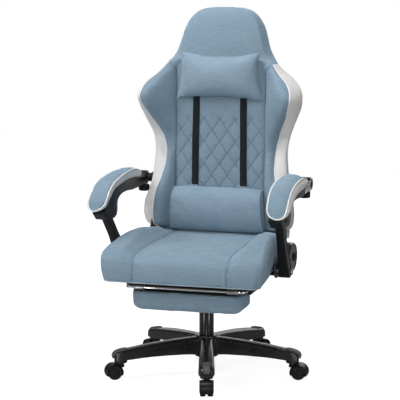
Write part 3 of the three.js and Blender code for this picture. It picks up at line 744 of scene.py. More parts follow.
CAP_GREY = moulded("grey_foot_pad", srgb("4c4d4e"), rough=0.5, grain=0.45, spec=0.3, lift=0.004, scuff=0.05)
NYLON_DULL = moulded("black_nylon_grained", srgb("141516"), rough=0.5, grain=0.45, spec=0.22, lift=0.003, scuff=0.05)
GLOSS = moulded("gloss_black_moulding", srgb("0b0c0d"), rough=0.24, grain=0.05, coat=0.12, spec=0.3, lift=0.002, scuff=0.03)
TREAD = moulded("caster_tread", srgb("161718"), rough=0.55, grain=0.4, spec=0.35, lift=0.004, scuff=0.05)
LACQUER = coated_metal("gloss_black_tube", srgb("0a0b0c"), rough=0.11, orange=0.04, spec=0.6)
POWDER = coated_metal("black_powder_coat", srgb("131415"), rough=0.42, orange=0.3)
CHROME = bright_metal("chrome_plate", srgb("e4e6e8"), rough=0.05, grain=0.03, smudge=0.05)
STEEL = bright_metal("ground_steel", srgb("a9adb1"), rough=0.26)
PLY = plywood("seat_plywood")
RUBBER = moulded("rubber_grey", srgb("2b2c2e"), rough=0.7, grain=0.5, coat=0.0)

# ------------------------------------------------------------------ camera, light and floor
cam_data = bpy.data.cameras.new("camera")
cam_data.sensor_width = 36.0
cam_data.lens = 178.0
cam_data.clip_start, cam_data.clip_end = 0.1, 100.0
cam = link(bpy.data.objects.new("camera", cam_data))
_a = math.radians(16.0)
cam.location = (SHIFT[0] + 6.6 * math.sin(_a), SHIFT[1] - 6.6 * math.cos(_a), 1.680)
cam.rotation_euler = (math.radians(90.0 - 9.33), 0.0, math.radians(16.0 + 0.195))
scene.camera = cam

floor_me = bpy.data.meshes.new("floor")
floor_me.from_pydata([(4.2 * math.cos(k * math.pi / 32), 4.2 * math.sin(k * math.pi / 32), 0) for k in range(64)], [], [tuple(range(64))])
_m = Nodes("pale_floor")
_p, _n = _m.coords()
_m.put(_m.bsdf.inputs["Base Color"], _m.mix(_m.noise(_p, 0.8, 3.0), srgb("9a9b9d"), srgb("a2a3a5")))
_m.bsdf.inputs["Roughness"].default_value = 0.85
_m.bsdf.inputs["Specular IOR Level"].default_value = 0.1
_e = _m.node("ShaderNodeEmission")
_e.inputs[0].default_value = (1.0, 1.0, 1.0, 1.0)
_m.put(_e.inputs[1], _m.math("MULTIPLY", _m.node("ShaderNodeLightPath").outputs["Is Camera Ray"], 0.86))
_s = _m.node("ShaderNodeAddShader")
_m.nt.links.new(_m.bsdf.outputs[0], _s.inputs[0])
_m.nt.links.new(_e.outputs[0], _s.inputs[1])
_m.nt.links.new(_s.outputs[0], _m.out.inputs[0])
floor_me.materials.append(_m.mat)
floor = link(bpy.data.objects.new("floor", floor_me))
floor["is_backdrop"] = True

world = bpy.data.worlds.new("studio")
scene.world = world
world.use_nodes = True
_nt = world.node_tree
_bg = _nt.nodes["Background"]
_bg.inputs[0].default_value = (0.97, 0.985, 1.0, 1)
_bg.inputs[1].default_value = 0.20
_seen = _nt.nodes.new("ShaderNodeBackground")
_seen.inputs[0].default_value = (1.0, 1.0, 1.0, 1)
_seen.inputs[1].default_value = 1.0
_path = _nt.nodes.new("ShaderNodeLightPath")
_mixed = _nt.nodes.new("ShaderNodeMixShader")
_nt.links.new(_path.outputs["Is Camera Ray"], _mixed.inputs[0])
_nt.links.new(_bg.outputs[0], _mixed.inputs[1])
_nt.links.new(_seen.outputs[0], _mixed.inputs[2])
_nt.links.new(_mixed.outputs[0], _nt.nodes["World Output"].inputs[0])


def area(name, loc, aim, size, power, color=(1, 1, 1), size_y=None):
    d = bpy.data.lights.new(name, "AREA")
    d.shape = "RECTANGLE"
    d.size, d.size_y = size, size_y or size
    d.energy = power
    d.color = color
    o = link(bpy.data.objects.new(name, d))
    o.location = loc
    o.rotation_euler = (Vector(aim) - Vector(loc)).to_track_quat("-Z", "Y").to_euler()
    return o


area("key", (-2.9, -2.3, 3.5), (0, 0, 0.7), 1.9, 103)
area("fill", (3.3, -1.9, 3.2), (0, 0, 0.8), 2.0, 9)
area("top", (-0.2, -0.5, 4.2), (0, 0, 0.5), 2.2, 86)
area("back_rim", (1.2, 3.2, 2.6), (0, 0, 0.8), 2.0, 30)
# a lamp kept to the backrest, one kept low for the footrest and base, and a soft sheen from behind
face = area("face", (0.6, -3.2, 1.75), (0.03, 0.12, 0.98), 0.9, 3.1)
face.data.spread = math.radians(42)
low = area("low_front", (0.55, -2.6, 0.50), (0.0, -0.1, 0.13), 1.2, 0.26, size_y=0.30)
low.data.spread = math.radians(17)
sheen = area("sheen", (-0.6, 3.9, 1.15), (0, 0, 0.25), 3.2, 13, size_y=0.9)
for _x, _y in ((-0.31, -0.68), (0.62, -0.42)):
    _k = area("kicker", (_x, _y, 0.10), (0, 0, 0.16), 0.05, 0.45, size_y=0.18)
    _k.visible_camera = False
for _o in (face, low, sheen):
    _o.visible_camera = False
scene.view_settings.view_transform = "Standard"
scene.view_settings.look = "None"
scene.view_settings.exposure = 0.0


# ------------------------------------------------------------------ base, column and casters
def rot_z(v, deg, shift=(0, 0, 0)):
    c, s = math.cos(math.radians(deg)), math.sin(math.radians(deg))
    v = np.asarray(v, float)
    return np.stack([v[:, 0] * c - v[:, 1] * s + shift[0], v[:, 0] * s + v[:, 1] * c + shift[1], v[:, 2] + shift[2]], 1)


def boolean(o, tools, op="DIFFERENCE"):
    for t in tools:
        b = o.modifiers.new("b", "BOOLEAN")
        b.operation = op
        b.solver = "EXACT"
        b.object = t
    bpy.context.view_layer.update()
    apply_modifiers(o)
    for t in tools:
        bpy.data.objects.remove(t)
    return o


def resharp(o, angle=38):
    """Smooth shading with edges over the angle kept sharp."""
    bm = bmesh.new()
    bm.from_mesh(o.data)
    bmesh.ops.remove_doubles(bm, verts=bm.verts, dist=1e-6)
    bmesh.ops.dissolve_degenerate(bm, edges=bm.edges, dist=1e-6)
    gaps = [e for e in bm.edges if e.is_boundary]
    if gaps:
        bmesh.ops.holes_fill(bm, edges=gaps, sides=0)
    for f in bm.faces:
        f.smooth = True
    for e in bm.edges:
        e.smooth = not (len(e.link_faces) == 2 and e.calc_face_angle(0) > math.radians(angle))
    bm.to_mesh(o.data)
    bm.free()
    return o


def leg_section(r, w, z0, z1):
    """Inverted trough: crowned top with rounded shoulders, drafted sides, and the hollow under it."""
    out = fillet([(-w, z0), (-w + 1.5, z1 - 3), (0, z1), (w - 1.5, z1 - 3), (w, z0)], [0, 9, 60, 9, 0], 6, closed=False)
    wi = w - 4
    inn = np.array([(wi, z0), (wi - 2, z1 - 9), (0, z1 - 7), (-wi + 2, z1 - 9), (-wi, z0)])
    p = np.vstack([out, inn])
    return np.stack([np.full(len(p), r), p[:, 0], p[:, 1]], 1)


_keys = np.array([[34, 25, 66, 127], [50, 22.5, 68, 126.5], [75, 22, 70, 125], [110, 23, 71, 122.5], [150, 24.5, 72, 119], [190, 25.6, 72, 115],
                  [230, 26.5, 71, 110], [262, 27, 69, 105], [290, 27, 67, 100.5], [305, 26.8, 66.5, 98.3], [318, 25, 66, 95.5], [326, 21.5, 66.5, 92], [330, 17.5, 67, 88.5]])
_r = np.r_[np.linspace(34, 300, 26), np.linspace(304, 330, 10)]
_s = pchip(_keys[:, 0], _keys[:, 1:], _r)


def make_base():
    parts = []
    hub = lathe(round_profile([(25.45, 58), (39.5, 58), (41.8, 80), (40.0, 121), (38.0, 124.5), (36.2, 126), (36.0, 129.5), (34.8, 131), (25.45, 131)], [0, 2, 6, 2, 1.5, 1.5, 1, 1, 0], 4).tolist() + [(25.45, 58)], 72)
    base = make("star_base_body", *hub, LEG_BLACK)
    tools = []
    for k, a in enumerate(LEG):
        rings = np.array([leg_section(r, *q) for r, q in zip(_r, _s)])
        v, f = rings_mesh(rings, caps=False)
        n = rings.shape[1]
        f.append(tuple(range(n))[::-1])
        f.append(tuple(len(rings) * n - n + i for i in range(n)))
        tools.append(make("leg_%d" % k, rot_z(v, a), f, LEG_BLACK))
        boss = lathe([(0, 55), (20.5, 55), (22, 56.5), (22.6, 84), (0, 84)], 48)
        tools.append(make("boss_%d" % k, rot_z(boss[0] + np.array([305, 0, 0]), a), boss[1], LEG_BLACK))
        # cross ribs under each leg
        for r0, r1, s0, s1 in ((52, 120, -1, 1), (52, 120, 1, -1), (120, 195, -1, 1), (120, 195, 1, -1), (195, 275, -1, 1), (195, 275, 1, -1)):
            pts = []
            for z in (72.5, 104 if r1 < 200 else 96):
                for r, s in ((r0, s0), (r1, s1)):
                    wv = float(np.interp(r, _keys[:, 0], _keys[:, 1])) - 4.5
                    for off in (-1.1, 1.1):
                        pts.append((r + off * 0.4, s * wv + off * (1 if s0 < 0 else 1), z))
            pts = np.array(pts)
            v = pts[[0, 2, 3, 1, 4, 6, 7, 5]]
            f = [(0, 1, 2, 3), (7, 6, 5, 4), (0, 4, 5, 1), (1, 5, 6, 2), (2, 6, 7, 3), (3, 7, 4, 0)]
            tools.append(make("rib", rot_z(v, a), f, LEG_BLACK))
    boolean(base, tools, "UNION")
    pins = []
    for a in LEG:
        v, f = lathe([(0, 50), (5.9, 50), (5.9, 89.5), (0, 89.5)], 20)
        pins.append(make("hole", rot_z(v + np.array([305, 0, 0]), a), f, LEG_BLACK))
    boolean(base, pins, "DIFFERENCE")
    resharp(base, 34)
    caps = []
    for a in LEG:
        path = crom([(281, 102.3), (300, 100.4), (315, 97.3), (325.5, 92.0), (331.2, 84.5), (333.0, 74.5)], 22)
        t = np.gradient(path, axis=0)
        t /= np.linalg.norm(t, axis=1)[:, None]
        nrm = np.stack([t[:, 1], -t[:, 0]], 1) * -1
        rings = []
        for i, (p, q) in enumerate(zip(path, nrm)):
            e = min(i, len(path) - 1 - i) / 3.0
            sh = math.sqrt(max(0.0, 1 - (1 - min(1, e)) ** 2)) if e < 1 else 1
            half = 13.5 * (0.72 + 0.28 * sh) * (1 - 0.12 * i / len(path))
            th = 2.4 * (0.25 + 0.75 * sh)
            sec = fillet([(-half, -3), (-half + 0.6, th), (half - 0.6, th), (half, -3)], [0, 2, 2, 0], 5, closed=False)
            rings.append([(p[0] + q[0] * s[1], s[0], p[1] + q[1] * s[1]) for s in sec])
        v, f = rings_mesh(np.array(rings), caps=False)
        n = len(rings[0])
        f.append(tuple(range(n))[::-1])
        f.append(tuple(len(rings) * n - n + i for i in range(n)))
        caps.append(make("cap", rot_z(v, a), f, CAP_GREY, sharp=50))
    base = join("star_base_moulding", [base] + caps)
    place(base, "base", ["star_base"])


make_base()

tube_o = make("column_outer_tube", *lathe(round_profile([(5.4, 62), (25, 62), (25, 300), (22.05, 300), (22.05, 68), (5.4, 68)], [0, 0.8, 1.4, 0.6, 0, 0], 5).tolist() + [(5.4, 62)], 128), LACQUER, sharp=40)
place(tube_o, "base", ["column_tube"])
bush = make("column_top_bush", *lathe(round_profile([(14.4, 190), (21.7, 190), (21.7, 300.4), (25.2, 300.4), (25.2, 304), (22.4, 308.4), (14.4, 308.4)], [0, 0.5, 0, 1.2, 1.2, 1.5, 0], 4).tolist() + [(14.4, 190)], 96), NYLON_DULL, sharp=40)
place(bush, "base", ["column_bush"])
cyl = make("gas_spring_cylinder", *lathe(round_profile([(0, 118), (13.9, 118), (13.9, 250), (13.9, 322), (13.2, 336), (0, 336)], [0, 1, 0, 1, 1, 0], 4), 80), STEEL, sharp=40)
place(cyl, "lift", ["gas_cylinder"])


def make_casters():
    for k, a in enumerate(LEG):
        at = (305 * math.cos(math.radians(a)), 305 * math.sin(math.radians(a)), 0)
        wheels = []
        prof = round_profile([(0, 22.9), (5.5, 22.9), (7.6, 21.4), (8.2, 19.9), (18.6, 19.9), (19.8, 21.9), (22.4, 21.9), (25.0, 18.6), (25.0, 7.2), (23.3, 3.5), (0, 3.5)],
                             [0, 0.8, 0.6, 0.8, 1.0, 0.9, 1.2, 2.2, 2.2, 1.4, 0], 5)
        for s in (1, -1):
            v, f = lathe(prof, 72, axis="y")
            v = v * np.array([1, s, 1]) + np.array([24, 0, 25])
            wheels.append(make("w", rot_z(v, a, at), f, TREAD, sharp=45))
            # five webs in the wheel's side
            for j in range(5):
                th = 2 * math.pi * j / 5
                c, sn = math.cos(th), math.sin(th)
                pts = np.array([(r * c - t * sn, y, r * sn + t * c) for r in (7.2, 19.4) for t in (-0.9, 0.9) for y in (19.5 * s, 21.2 * s)])
                pts = pts + np.array([24, 0, 25])
                wheels.append(make("w", rot_z(pts, a, at), [(0, 1, 3, 2), (4, 6, 7, 5), (0, 4, 5, 1), (2, 3, 7, 6), (1, 5, 7, 3), (0, 2, 6, 4)], TREAD))
        v, f = lathe(round_profile([(0, -3.5), (3, -3.5), (3, 3.5), (0, 3.5)], 0, 2), 24, axis="y")
        wheels.append(make("w", rot_z(v + np.array([24, 0, 25]), a, at), f, STEEL))
        o = join("caster_wheel_pair_%d" % (k + 1), wheels)
        place(o, "wheels_%d" % (k + 1), ["caster_wheels_%d" % (k + 1)])
        # hood: crowned arch over both wheels with turned-down lips, a web between the wheels, and the stem's neck
        ang = np.radians(np.linspace(-24, 205, 46))
        sec = fillet([(26.0, -23.6), (28.3, -23.6), (29.6, -12), (29.9, 0), (29.6, 12), (28.3, 23.6), (26.0, 23.6), (27.0, 12), (27.1, 0), (27.0, -12)], [0.9, 1.6, 20, 30, 20, 1.6, 0.9, 0, 0, 0], 5)
        rings = []
        for i, t in enumerate(ang):
            e = min(i, len(ang) - 1 - i)
            g = 1 - 0.10 * max(0, 3 - e) / 3
            rings.append([((r if r < 27.5 else 27.3 + (r - 27.3) * g) * math.cos(t) + 24, y * (1 - 0.04 * max(0, 3 - e)), (r if r < 27.5 else 27.3 + (r - 27.3) * g) * math.sin(t) + 25) for r, y in sec])
        rings = np.array(rings)
        v, f = rings_mesh(rings, caps=False)
        n = rings.shape[1]
        f.append(tuple(range(n))[::-1])
        f.append(tuple(len(rings) * n - n + i for i in range(n)))
        hood = [make("h", rot_z(v, a, at), f, NYLON, sharp=45)]
        web = np.vstack([arc(24, 25, 27.3, -24, 205, 40), [(24 - 10, 25 - 9), (24 + 10, 25 - 9)]])
        w3 = [(p[0], y, p[1]) for y in (-2.7, 2.7) for p in web]
        m = len(web)
        wf = [tuple(range(m))[::-1], tuple(range(m, 2 * m))] + [(i, (i + 1) % m, m + (i + 1) % m, m + i) for i in range(m)]
        hood.append(make("h", rot_z(w3, a, at), wf, NYLON, sharp=30))
        v, f = lathe(round_profile([(0, 40), (13, 40), (12.2, 47), (10.6, 50), (10.4, 54.2), (5.5, 54.2), (5.5, 88), (0, 88)], [0, 1, 3, 1, 0.6, 0.3, 0.8, 0], 4), 48)
        hood.append(make("h", rot_z(v, a, at), f, NYLON, sharp=45))
        # grip ridges on the hood's outer end
        for j in range(6):
            y = -9.5 + 3.8 * j
            t = np.radians(np.linspace(6, 40, 12))
            crest = 29.2 + 1.3 * np.sin(np.linspace(0.15, math.pi - 0.15, 12))
            path = np.stack([crest * np.cos(t) + 24, np.full(12, y), crest * np.sin(t) + 25], 1)
            v, f = tube(path, 0.95, 8)
            hood.append(make("h", rot_z(v, a, at), f, NYLON_DULL))
        o = join("caster_hood_moulding_%d" % (k + 1), hood)
        place(o, "caster_%d" % (k + 1), ["caster_hood_%d" % (k + 1)])


make_casters()


# ------------------------------------------------------------------ knobs and levers
def lobed_knob(name, centre, z0, z1, radius, lobes, depth, mat, stem=None, dome=1.5, down=True):
    """Moulded star knob: scalloped skirt and rounded edges, with a steel stem when one is given."""
    n = 144
    th = np.linspace(0, 2 * math.pi, n, endpoint=False)
    wave = np.cos(lobes * th)
    scal = np.sign(wave) * np.abs(wave) ** 0.8
    h = z1 - z0
    rows = [(0.02, 0.055, 0.0), (0.38, 0.055, 0.0), (0.42, 0.02, 0.0), (0.46, 0.0, 0.0), (0.62, 0.0, 0.2), (0.86, 0.0, 0.6), (0.95, 0.035, 0.9), (1.0, 0.13, 1.0), (1.01, 0.5, 1.0), (1.0, 0.86, 1.0), (0.96, 0.95, 0.9), (0.88, 1.0, 0.7), (0.5, 1.0, 0.2), (0.02, 1.0, 0.0)]
    rings = []
    for rr, t, sh in rows:
        r = radius * rr + depth * scal * sh
        rings.append(np.stack([centre[0] + r * np.cos(th), centre[1] + r * np.sin(th), np.full(n, z0 + h * t)], 1))
    v, f = rings_mesh(np.array(rings))
    parts = [make(name, v, f, mat, sharp=50)]
    if stem:
        parts.append(make("stem", *lathe([(0, z1 - 0.5), (stem[0], z1 - 0.5), (stem[0], stem[1]), (0, stem[1])], 24, (centre[0], centre[1], 0)), STEEL))
    return join(name, parts)


for side, s in SIDES:
    o = lobed_knob("arm_star_knob_" + side, (290 * s, 212), 584, 607.2, 18.6, 6, 1.5, GLOSS, (4, 619.4))
    place(o, "arm_knob_" + side, ["arm_knob_" + side])
o = lobed_knob("tilt_tension_knob", (0, -50), 286, 312, 18.4, 7, 1.5, NYLON_DULL, (4, 336))
place(o, "tension_knob", ["tension_knob"])


def make_levers():
    p = crom([(-52, -40, 326), (-78, -40, 325.6), (-95, -40, 319), (-112, -40, 304), (-128, -40, 298), (-160, -40, 297.2), (-205, -40, 297)], 44)
    rod = make("rod", *tube(p, 4, 16), POWDER)
    rings = []
    for x, w, h in ((-188, 5.2, 5.2), (-190, 6.5, 5.6), (-196, 10, 5.2), (-204, 13, 4.4), (-214, 14.6, 3.8), (-224, 14.2, 3.6), (-229, 11.5, 3.1), (-231, 6, 1.8)):
        t = np.linspace(0, 2 * math.pi, 28, endpoint=False)
        e = 0.65
        rings.append(np.stack([np.full(28, x), -40 + w * np.sign(np.cos(t)) * np.abs(np.cos(t)) ** e, 297 + h * np.sign(np.sin(t)) * np.abs(np.sin(t)) ** e], 1))
    grip = make("grip", *rings_mesh(np.array(rings)), NYLON_DULL, sharp=60)
    o = join("height_lever_handle", [rod, grip])
    place(o, "height_lever", ["height_lever"])
    y, z = RECLINE
    outline = fillet([(y + 13, z - 6), (y + 10, z + 12), (60, 425), (31, 438), (17, 449.5), (2, 449), (-2, 437), (12, 422.5), (46, 406), (y - 14, z - 2), (y - 6, z - 14), (y + 6, z - 14)],
                     [6, 10, 40, 20, 9, 7, 9, 40, 20, 9, 7, 7], 6)
    arm = prism("recline_arm", outline, -295, -289, POWDER, "x", 1.4, 3)
    head = make("boss", *lathe(round_profile([(0, -297.2), (9, -297.2), (10.5, -295.5), (10.5, -288.9), (6, -288.9), (6, -264.5), (0, -264.5)], [0, 1, 1, 0.5, 0.2, 0.5, 0], 4), 40, (0, y, z), "x"), POWDER, sharp=45)
    g = crom([(-292, 39, 431), (-292, 26, 438), (-292, 15, 442.5), (-292, 7, 443)], 16)
    gr = make("pad", *tube(g, np.interp(np.linspace(0, 1, 16), [0, 0.12, 0.85, 1], [5.0, 6.6, 7.0, 4.6]), 20, flat=None), RUBBER)
    o = join("recline_lever_handle", [arm, head, gr])
    place(o, "recline_lever", ["recline_lever"])


make_levers()


# ------------------------------------------------------------------ recliner covers, struts and arms
def make_side(side, s):
    flip = (lambda a, b: (a, b)) if s > 0 else (lambda a, b: (-b, -a))
    outline = fillet([(-8, 372), (-8, 396), (22, 436), (50, 449), (90, 449), (118, 436), (131, 412), (131, 388), (118, 364), (96, 352), (40, 347), (8, 352)], [16, 26, 30, 26, 26, 24, 24, 24, 24, 24, 24, 20], 8)
    lo, hi = flip(256.4, 286.0)
    cover = prism("recliner_cover_moulding_" + side, outline, lo, hi, GLOSS, "x", 6.0, 5, inset=(9, 1.4, s))
    y, z = RECLINE
    if s > 0:
        cap = make("cap", *lathe(round_profile([(0, 284), (15, 284), (15, 287.2), (12.5, 288.6), (7.5, 288.6), (6.8, 287.4), (0, 287.4)], [0, 0, 1.2, 0.8, 0.5, 0.3, 0], 4), 56, (0, y, z), "x"), NYLON_DULL, sharp=45)
        cover = join("recliner_cover_moulding_" + side, [cover, cap])
    place(cover, "seat", ["recliner_cover_" + side])

    # strut
    sy, sz, py, pz = -35.0, 372.0, -185.0, 572.0
    dy, dz = py - sy, pz - sz
    ln = math.hypot(dy, dz)
    ny, nz = -dz / ln, dy / ln
    q = lambda t, w: (sy + dy * t + ny * w, sz + dz * t + nz * w)
    foot = math.degrees(math.atan2(-nz, -ny))
    pts = np.vstack([arc(sy, sz, 21, foot, foot - 180, 22), crom([q(0.04, 20.8), q(0.14, 19.3), q(0.3, 17.2), q(0.45, 16), q(0.7, 15.2), q(0.93, 15.6)], 16), arc(py, pz, 16, foot - 180, foot - 360, 20),
                     crom([q(0.93, -15.6), q(0.7, -15.2), q(0.45, -16), q(0.3, -17.2), q(0.14, -19.3), q(0.04, -20.8)], 16)])
    lean = lambda x, yy, zz: (s * (abs(x) + 0.115 * (zz - sz) + 11 * min(1, max(0, (abs(x) - 268) / 22)) * max(0, 1 - max(0, zz - sz + 21) / 130)), yy, zz)
    lo, hi = flip(265, 293)
    strut = prism("arm_strut_bar_" + side, pts, lo, hi, NYLON, "x", 3.0, 4, lean=lean, inset=(5.5, 1.6, 0))
    pin = make("pin", *lathe(round_profile([(0, 279.2), (5, 279.2), (5, 319.8), (0, 319.8)], [0, 0.8, 0.8, 0], 3), 32, (0, py, pz), "x"), STEEL)
    if s < 0:
        pin.data.transform(Matrix.Translation((SHIFT[0], 0, 0)) @ Matrix.Scale(-1, 4, (1, 0, 0)) @ Matrix.Translation((-SHIFT[0], 0, 0)))
        pin.data.flip_normals()
    strut = join("arm_strut_bar_" + side, [strut, pin])
    place(strut, "strut_" + side, ["arm_strut_" + side])
    prof = round_profile([(0, 248.7), (8.5, 248.7), (8.5, 250.8), (6, 250.8), (6, 305.4), (11, 305.4), (11, 307.7), (8.6, 308.9), (5, 308.9), (4.3, 307.7), (0, 307.7)], [0, 0.6, 0, 0, 0, 0, 0.8, 0.8, 0.3, 0.3, 0], 4)
    v, f = lathe(prof, 48, (0, sy, sz), "x")
    bolt = make("strut_pivot_bolt_" + side, v * np.array([s, 1, 1]), f, STEEL, sharp=45)
    place(bolt, "seat", ["strut_bolt_" + side])

    # arm beam
    beam_pts = [(-254, 576), (-243, 592), (-226, 607), (-199, 624.5), (-172, 641.5), (-108, 654.5), (-13, 657.5), (90, 650.5), (150, 645), (184, 641),
                (192, 649), (203, 655), (221, 655), (233, 646), (237, 632), (233, 618), (221, 609), (203, 608), (186, 610), (150, 611), (90, 611), (52, 611), (-14, 617), (-70, 616.5), (-106, 606), (-118, 592), (-116, 570), (-124, 553), (-145, 546), (-190, 546), (-219, 550)]
    rad = [8, 60, 90, 120, 90, 200, 400, 400, 200, 6, 12, 14, 14, 14, 14, 14, 14, 14, 20, 200, 300, 200, 200, 120, 60, 18, 16, 16, 14, 14, 20]
    lo, hi = flip(277, 322)
    waist = lambda x, yy, zz: (s * (abs(x) - (9 * min(1, max(0, (yy - 30) / 110)) if abs(x) > 300 else 0)), yy, zz)
    beam = prism("arm_beam_moulding_" + side, fillet(beam_pts, rad, 7), lo, hi, NYLON, "x", 4.0, 4, lean=waist)
    lo, hi = flip(283.6, 319)
    slot = prism("slot", [(-213, 597), (-205, 601), (-162, 601), (-99, 560), (-99, 530), (-213, 530)], lo, hi, NYLON_DULL, "x", 0)
    boolean(beam, [slot])
    resharp(beam, 36)
    # pivot cap on the beam's rear end, a chrome plate round it, and a cap on the front pivot
    v, f = lathe(round_profile([(0, 312.3), (15, 312.3), (15, 314.7), (12.8, 315.9), (0, 316.1)], [0, 0, 1.0, 0.8, 0], 4), 56, (0, 212, 632), "x")
    cap = make("cap", v * np.array([s, 1, 1]), f, NYLON_DULL, sharp=45)
    lo, hi = flip(321.4, 323.6)
    plate = prism("plate", fillet([(104, 646.4), (150, 642), (184, 638.2), (193, 646.5), (204, 652), (220, 652), (230.5, 644.5), (234, 632), (230.5, 619.5), (220, 612), (204, 611), (187, 613.2), (150, 614), (104, 614.4)], [5, 60, 6, 12, 14, 14, 14, 14, 14, 14, 14, 20, 100, 5], 6), lo, hi, CHROME, "x", 0.8, 3, lean=waist)
    v, f = lathe(round_profile([(0, 321.4), (9, 321.4), (9, 323.2), (7.5, 324.0), (0, 324.2)], [0, 0, 1, 0.8, 0], 4), 48, (0, -185, 572), "x")
    cap2 = make("cap", v * np.array([s, 1, 1]), f, NYLON_DULL, sharp=45)
    beam = join("arm_beam_moulding_" + side, [beam, cap, cap2, plate])
    place(beam, "arm_" + side, ["arm_beam_" + side])

    # bracket out of the back
    prof = round_profile([(0, 151.5), (10, 151.5), (10, 240), (20, 246), (20.5, 256), (15.5, 263), (14, 272.4), (8, 272.4), (8, 305), (0, 305)], [0, 1, 4, 3, 3, 3, 1, 0.3, 1, 0], 5)
    v, f = lathe(prof, 56, (0, 212, 632), "x")
    br = make("arm_pivot_bracket_" + side, v * np.array([s, 1, 1]), f, POWDER, sharp=45)
    place(br, "back", ["arm_bracket_" + side])


for side, s in SIDES:
    make_side(side, s)


# ------------------------------------------------------------------ footrest metalwork
def make_footrest_frame():
    r, x, y0, z = 24, 202, -251, 338
    a = np.radians(np.linspace(0, 90, 14))
    right = [(x - r + r * math.cos(t), y0 + r - r * math.sin(t), z) for t in a]
    left = [(-p[0], p[1], p[2]) for p in right][::-1]
    path = [(x, 160, z)] + [(x, yy, z) for yy in np.linspace(140, y0 + r + 5, 20)] + right + [(xx, y0, z) for xx in np.linspace(x - r - 5, -(x - r - 5), 24)] + left
    path += [(-x, yy, z) for yy in np.linspace(y0 + r + 5, 140, 20)] + [(-x, 160, z)]
    rod = make("rod", *tube(path, 6, 28, up=(0, 0, 1)), CHROME, sharp=60)
    plugs = []
    for sx in (1, -1):
        v, f = lathe(round_profile([(0, 157), (6.2, 157), (6.2, 161), (5.2, 163.1), (0, 163.1)], [0, 0.2, 1, 1, 0], 4), 28, (sx * x, 0, z), "y")
        plugs.append(make("plug", v, f, NYLON_DULL, sharp=45))
    o = join("footrest_rod_frame", [rod] + plugs)
    place(o, "footrest_rods", ["footrest_frame"])


make_footrest_frame()


def make_footrest_board():
    outline = fillet([(-182, -242), (182, -242), (182, -100), (-182, -100)], [12, 12, 24, 24], 8)
    parts = [prism("board", outline, 325, 330.4, NYLON_DULL, "z", 1.2, 3)]
    for sx in (-1, 1):
        c = 160 * sx
        prof = round_profile([(6.5, c - 18), (10, c - 18), (10, c + 18), (6.5, c + 18)], [0, 1.2, 1.2, 0], 4).tolist()
        prof.append(prof[0])
        parts.append(make("sleeve", *lathe(prof, 48, (0, -251, 338), "x"), STEEL, sharp=45))
        web = fillet([(-257, 331.5), (-255, 326), (-237.5, 326), (-237.5, 335.8), (-242.5, 335.8), (-244, 333), (-247, 330.6)], [0.5, 1, 1.5, 1, 1, 2, 1], 4)
        parts.append(prism("web", web, c - 17.5, c + 17.5, NYLON, "x", 0.7, 2))
    for j in range(9):
        x = -152 + 38 * j
        parts.append(prism("rib", fillet([(x - 1.3, -226), (x + 1.3, -226), (x + 1.3, -112), (x - 1.3, -112)], 1.2, 4), 330.2, 331.6, NYLON_DULL, "z", 0.4, 2))
    o = join("footrest_base_board", parts)
    place(o, "footrest_panel", ["footrest_board"])


make_footrest_board()


def make_crossmember():
    sec = fillet([(-262, 353.2), (-259.3, 353.2), (-259.3, 360.0), (-241.5, 360.0), (-241.5, 349.2), (-238, 349.2), (-238, 362.7), (-262, 362.7)], [0.6, 0.6, 1.5, 1.5, 0.6, 0.6, 2.6, 2.6], 5)
    bar = prism("channel", sec, -214, 214, POWDER, "x", 0.5, 2)
    parts = [bar]
    for sx in (-1, 1):
        for x in (150, 202):
            v, f = lathe(round_profile([(0, 357.0), (5.4, 357.0), (5.4, 359.5), (0, 359.5)], [0, 0.8, 0, 0], 3), 20, (sx * x, -250, 0))
            parts.append(make("screw", v, f, STEEL))
    o = join("footrest_cross_channel", parts)
    place(o, "seat", ["footrest_crossmember"])


make_crossmember()

# ------------------------------------------------------------------ parts kept as built, with their finish
KEPT = {
    POWDER: ["tilt_housing", "seat_plate", "recliner_plate_left", "recliner_plate_right", "back_hinge_plate_left", "back_hinge_plate_right", "back_frame"],
    STEEL: ["thrust_bearing", "piston_rod", "tilt_shaft", "tension_spring", "recliner_hub_left", "recliner_hub_right"],
    NYLON_DULL: ["footrest_guide_left", "footrest_guide_right"],
    PLY: ["seat_pan"],
}
for mat, names in KEPT.items():
    for n in names:
        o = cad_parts[n]
        if not o.material_slots:
            o.data.materials.append(mat)
        for sl in o.material_slots:
            sl.material = mat
        if n != "tension_spring":
            add_bevel(o, 0.7, 2, 40)


# ------------------------------------------------------------------ soft parts: shared work
def outward(verts, faces):
    """Point normals, turned to face out of a closed skin."""
    n = vertex_normals(verts, faces)
    v = np.asarray(verts, float)
    return n if ((v - v.mean(0)) * n).sum() > 0 else -n


def to_path(p, path):
    """Distance of each point from a polyline."""
    p = np.asarray(p, float)
    path = np.asarray(path, float)
    best = np.full(len(p), 1e9)
    for a, b in zip(path[:-1], path[1:]):
        d = b - a
        t = np.clip(((p - a) @ d) / max(d @ d, 1e-9), 0, 1)
        best = np.minimum(best, np.linalg.norm(p - (a + t[:, None] * d), axis=1))
    return best


def ripple(p, wave, seed, count=7):
    """Soft irregular swell with a mean size of one."""
    rng = np.random.default_rng(seed)
    out = np.zeros(len(p))
    for _ in range(count):
        k = rng.normal(size=3)
        k *= 2 * math.pi / (wave * rng.uniform(0.7, 1.6)) / np.linalg.norm(k)
        out += np.sin(p @ k + rng.uniform(0, 6.283))
    return out / math.sqrt(count / 2)


def dip(d, depth, width):
    return -depth * np.exp(-(np.asarray(d) / width) ** 2)


def pucker(p, d, wave, amp, reach, seed):
    """Small folds running out from a seam."""
    w = ripple(p, wave, seed, 5) * ripple(p, wave * 3.1, seed + 1, 4)
    return amp * w * np.exp(-np.maximum(d - 1.5, 0) / reach) * smooth(d, 0.3, 3.5)


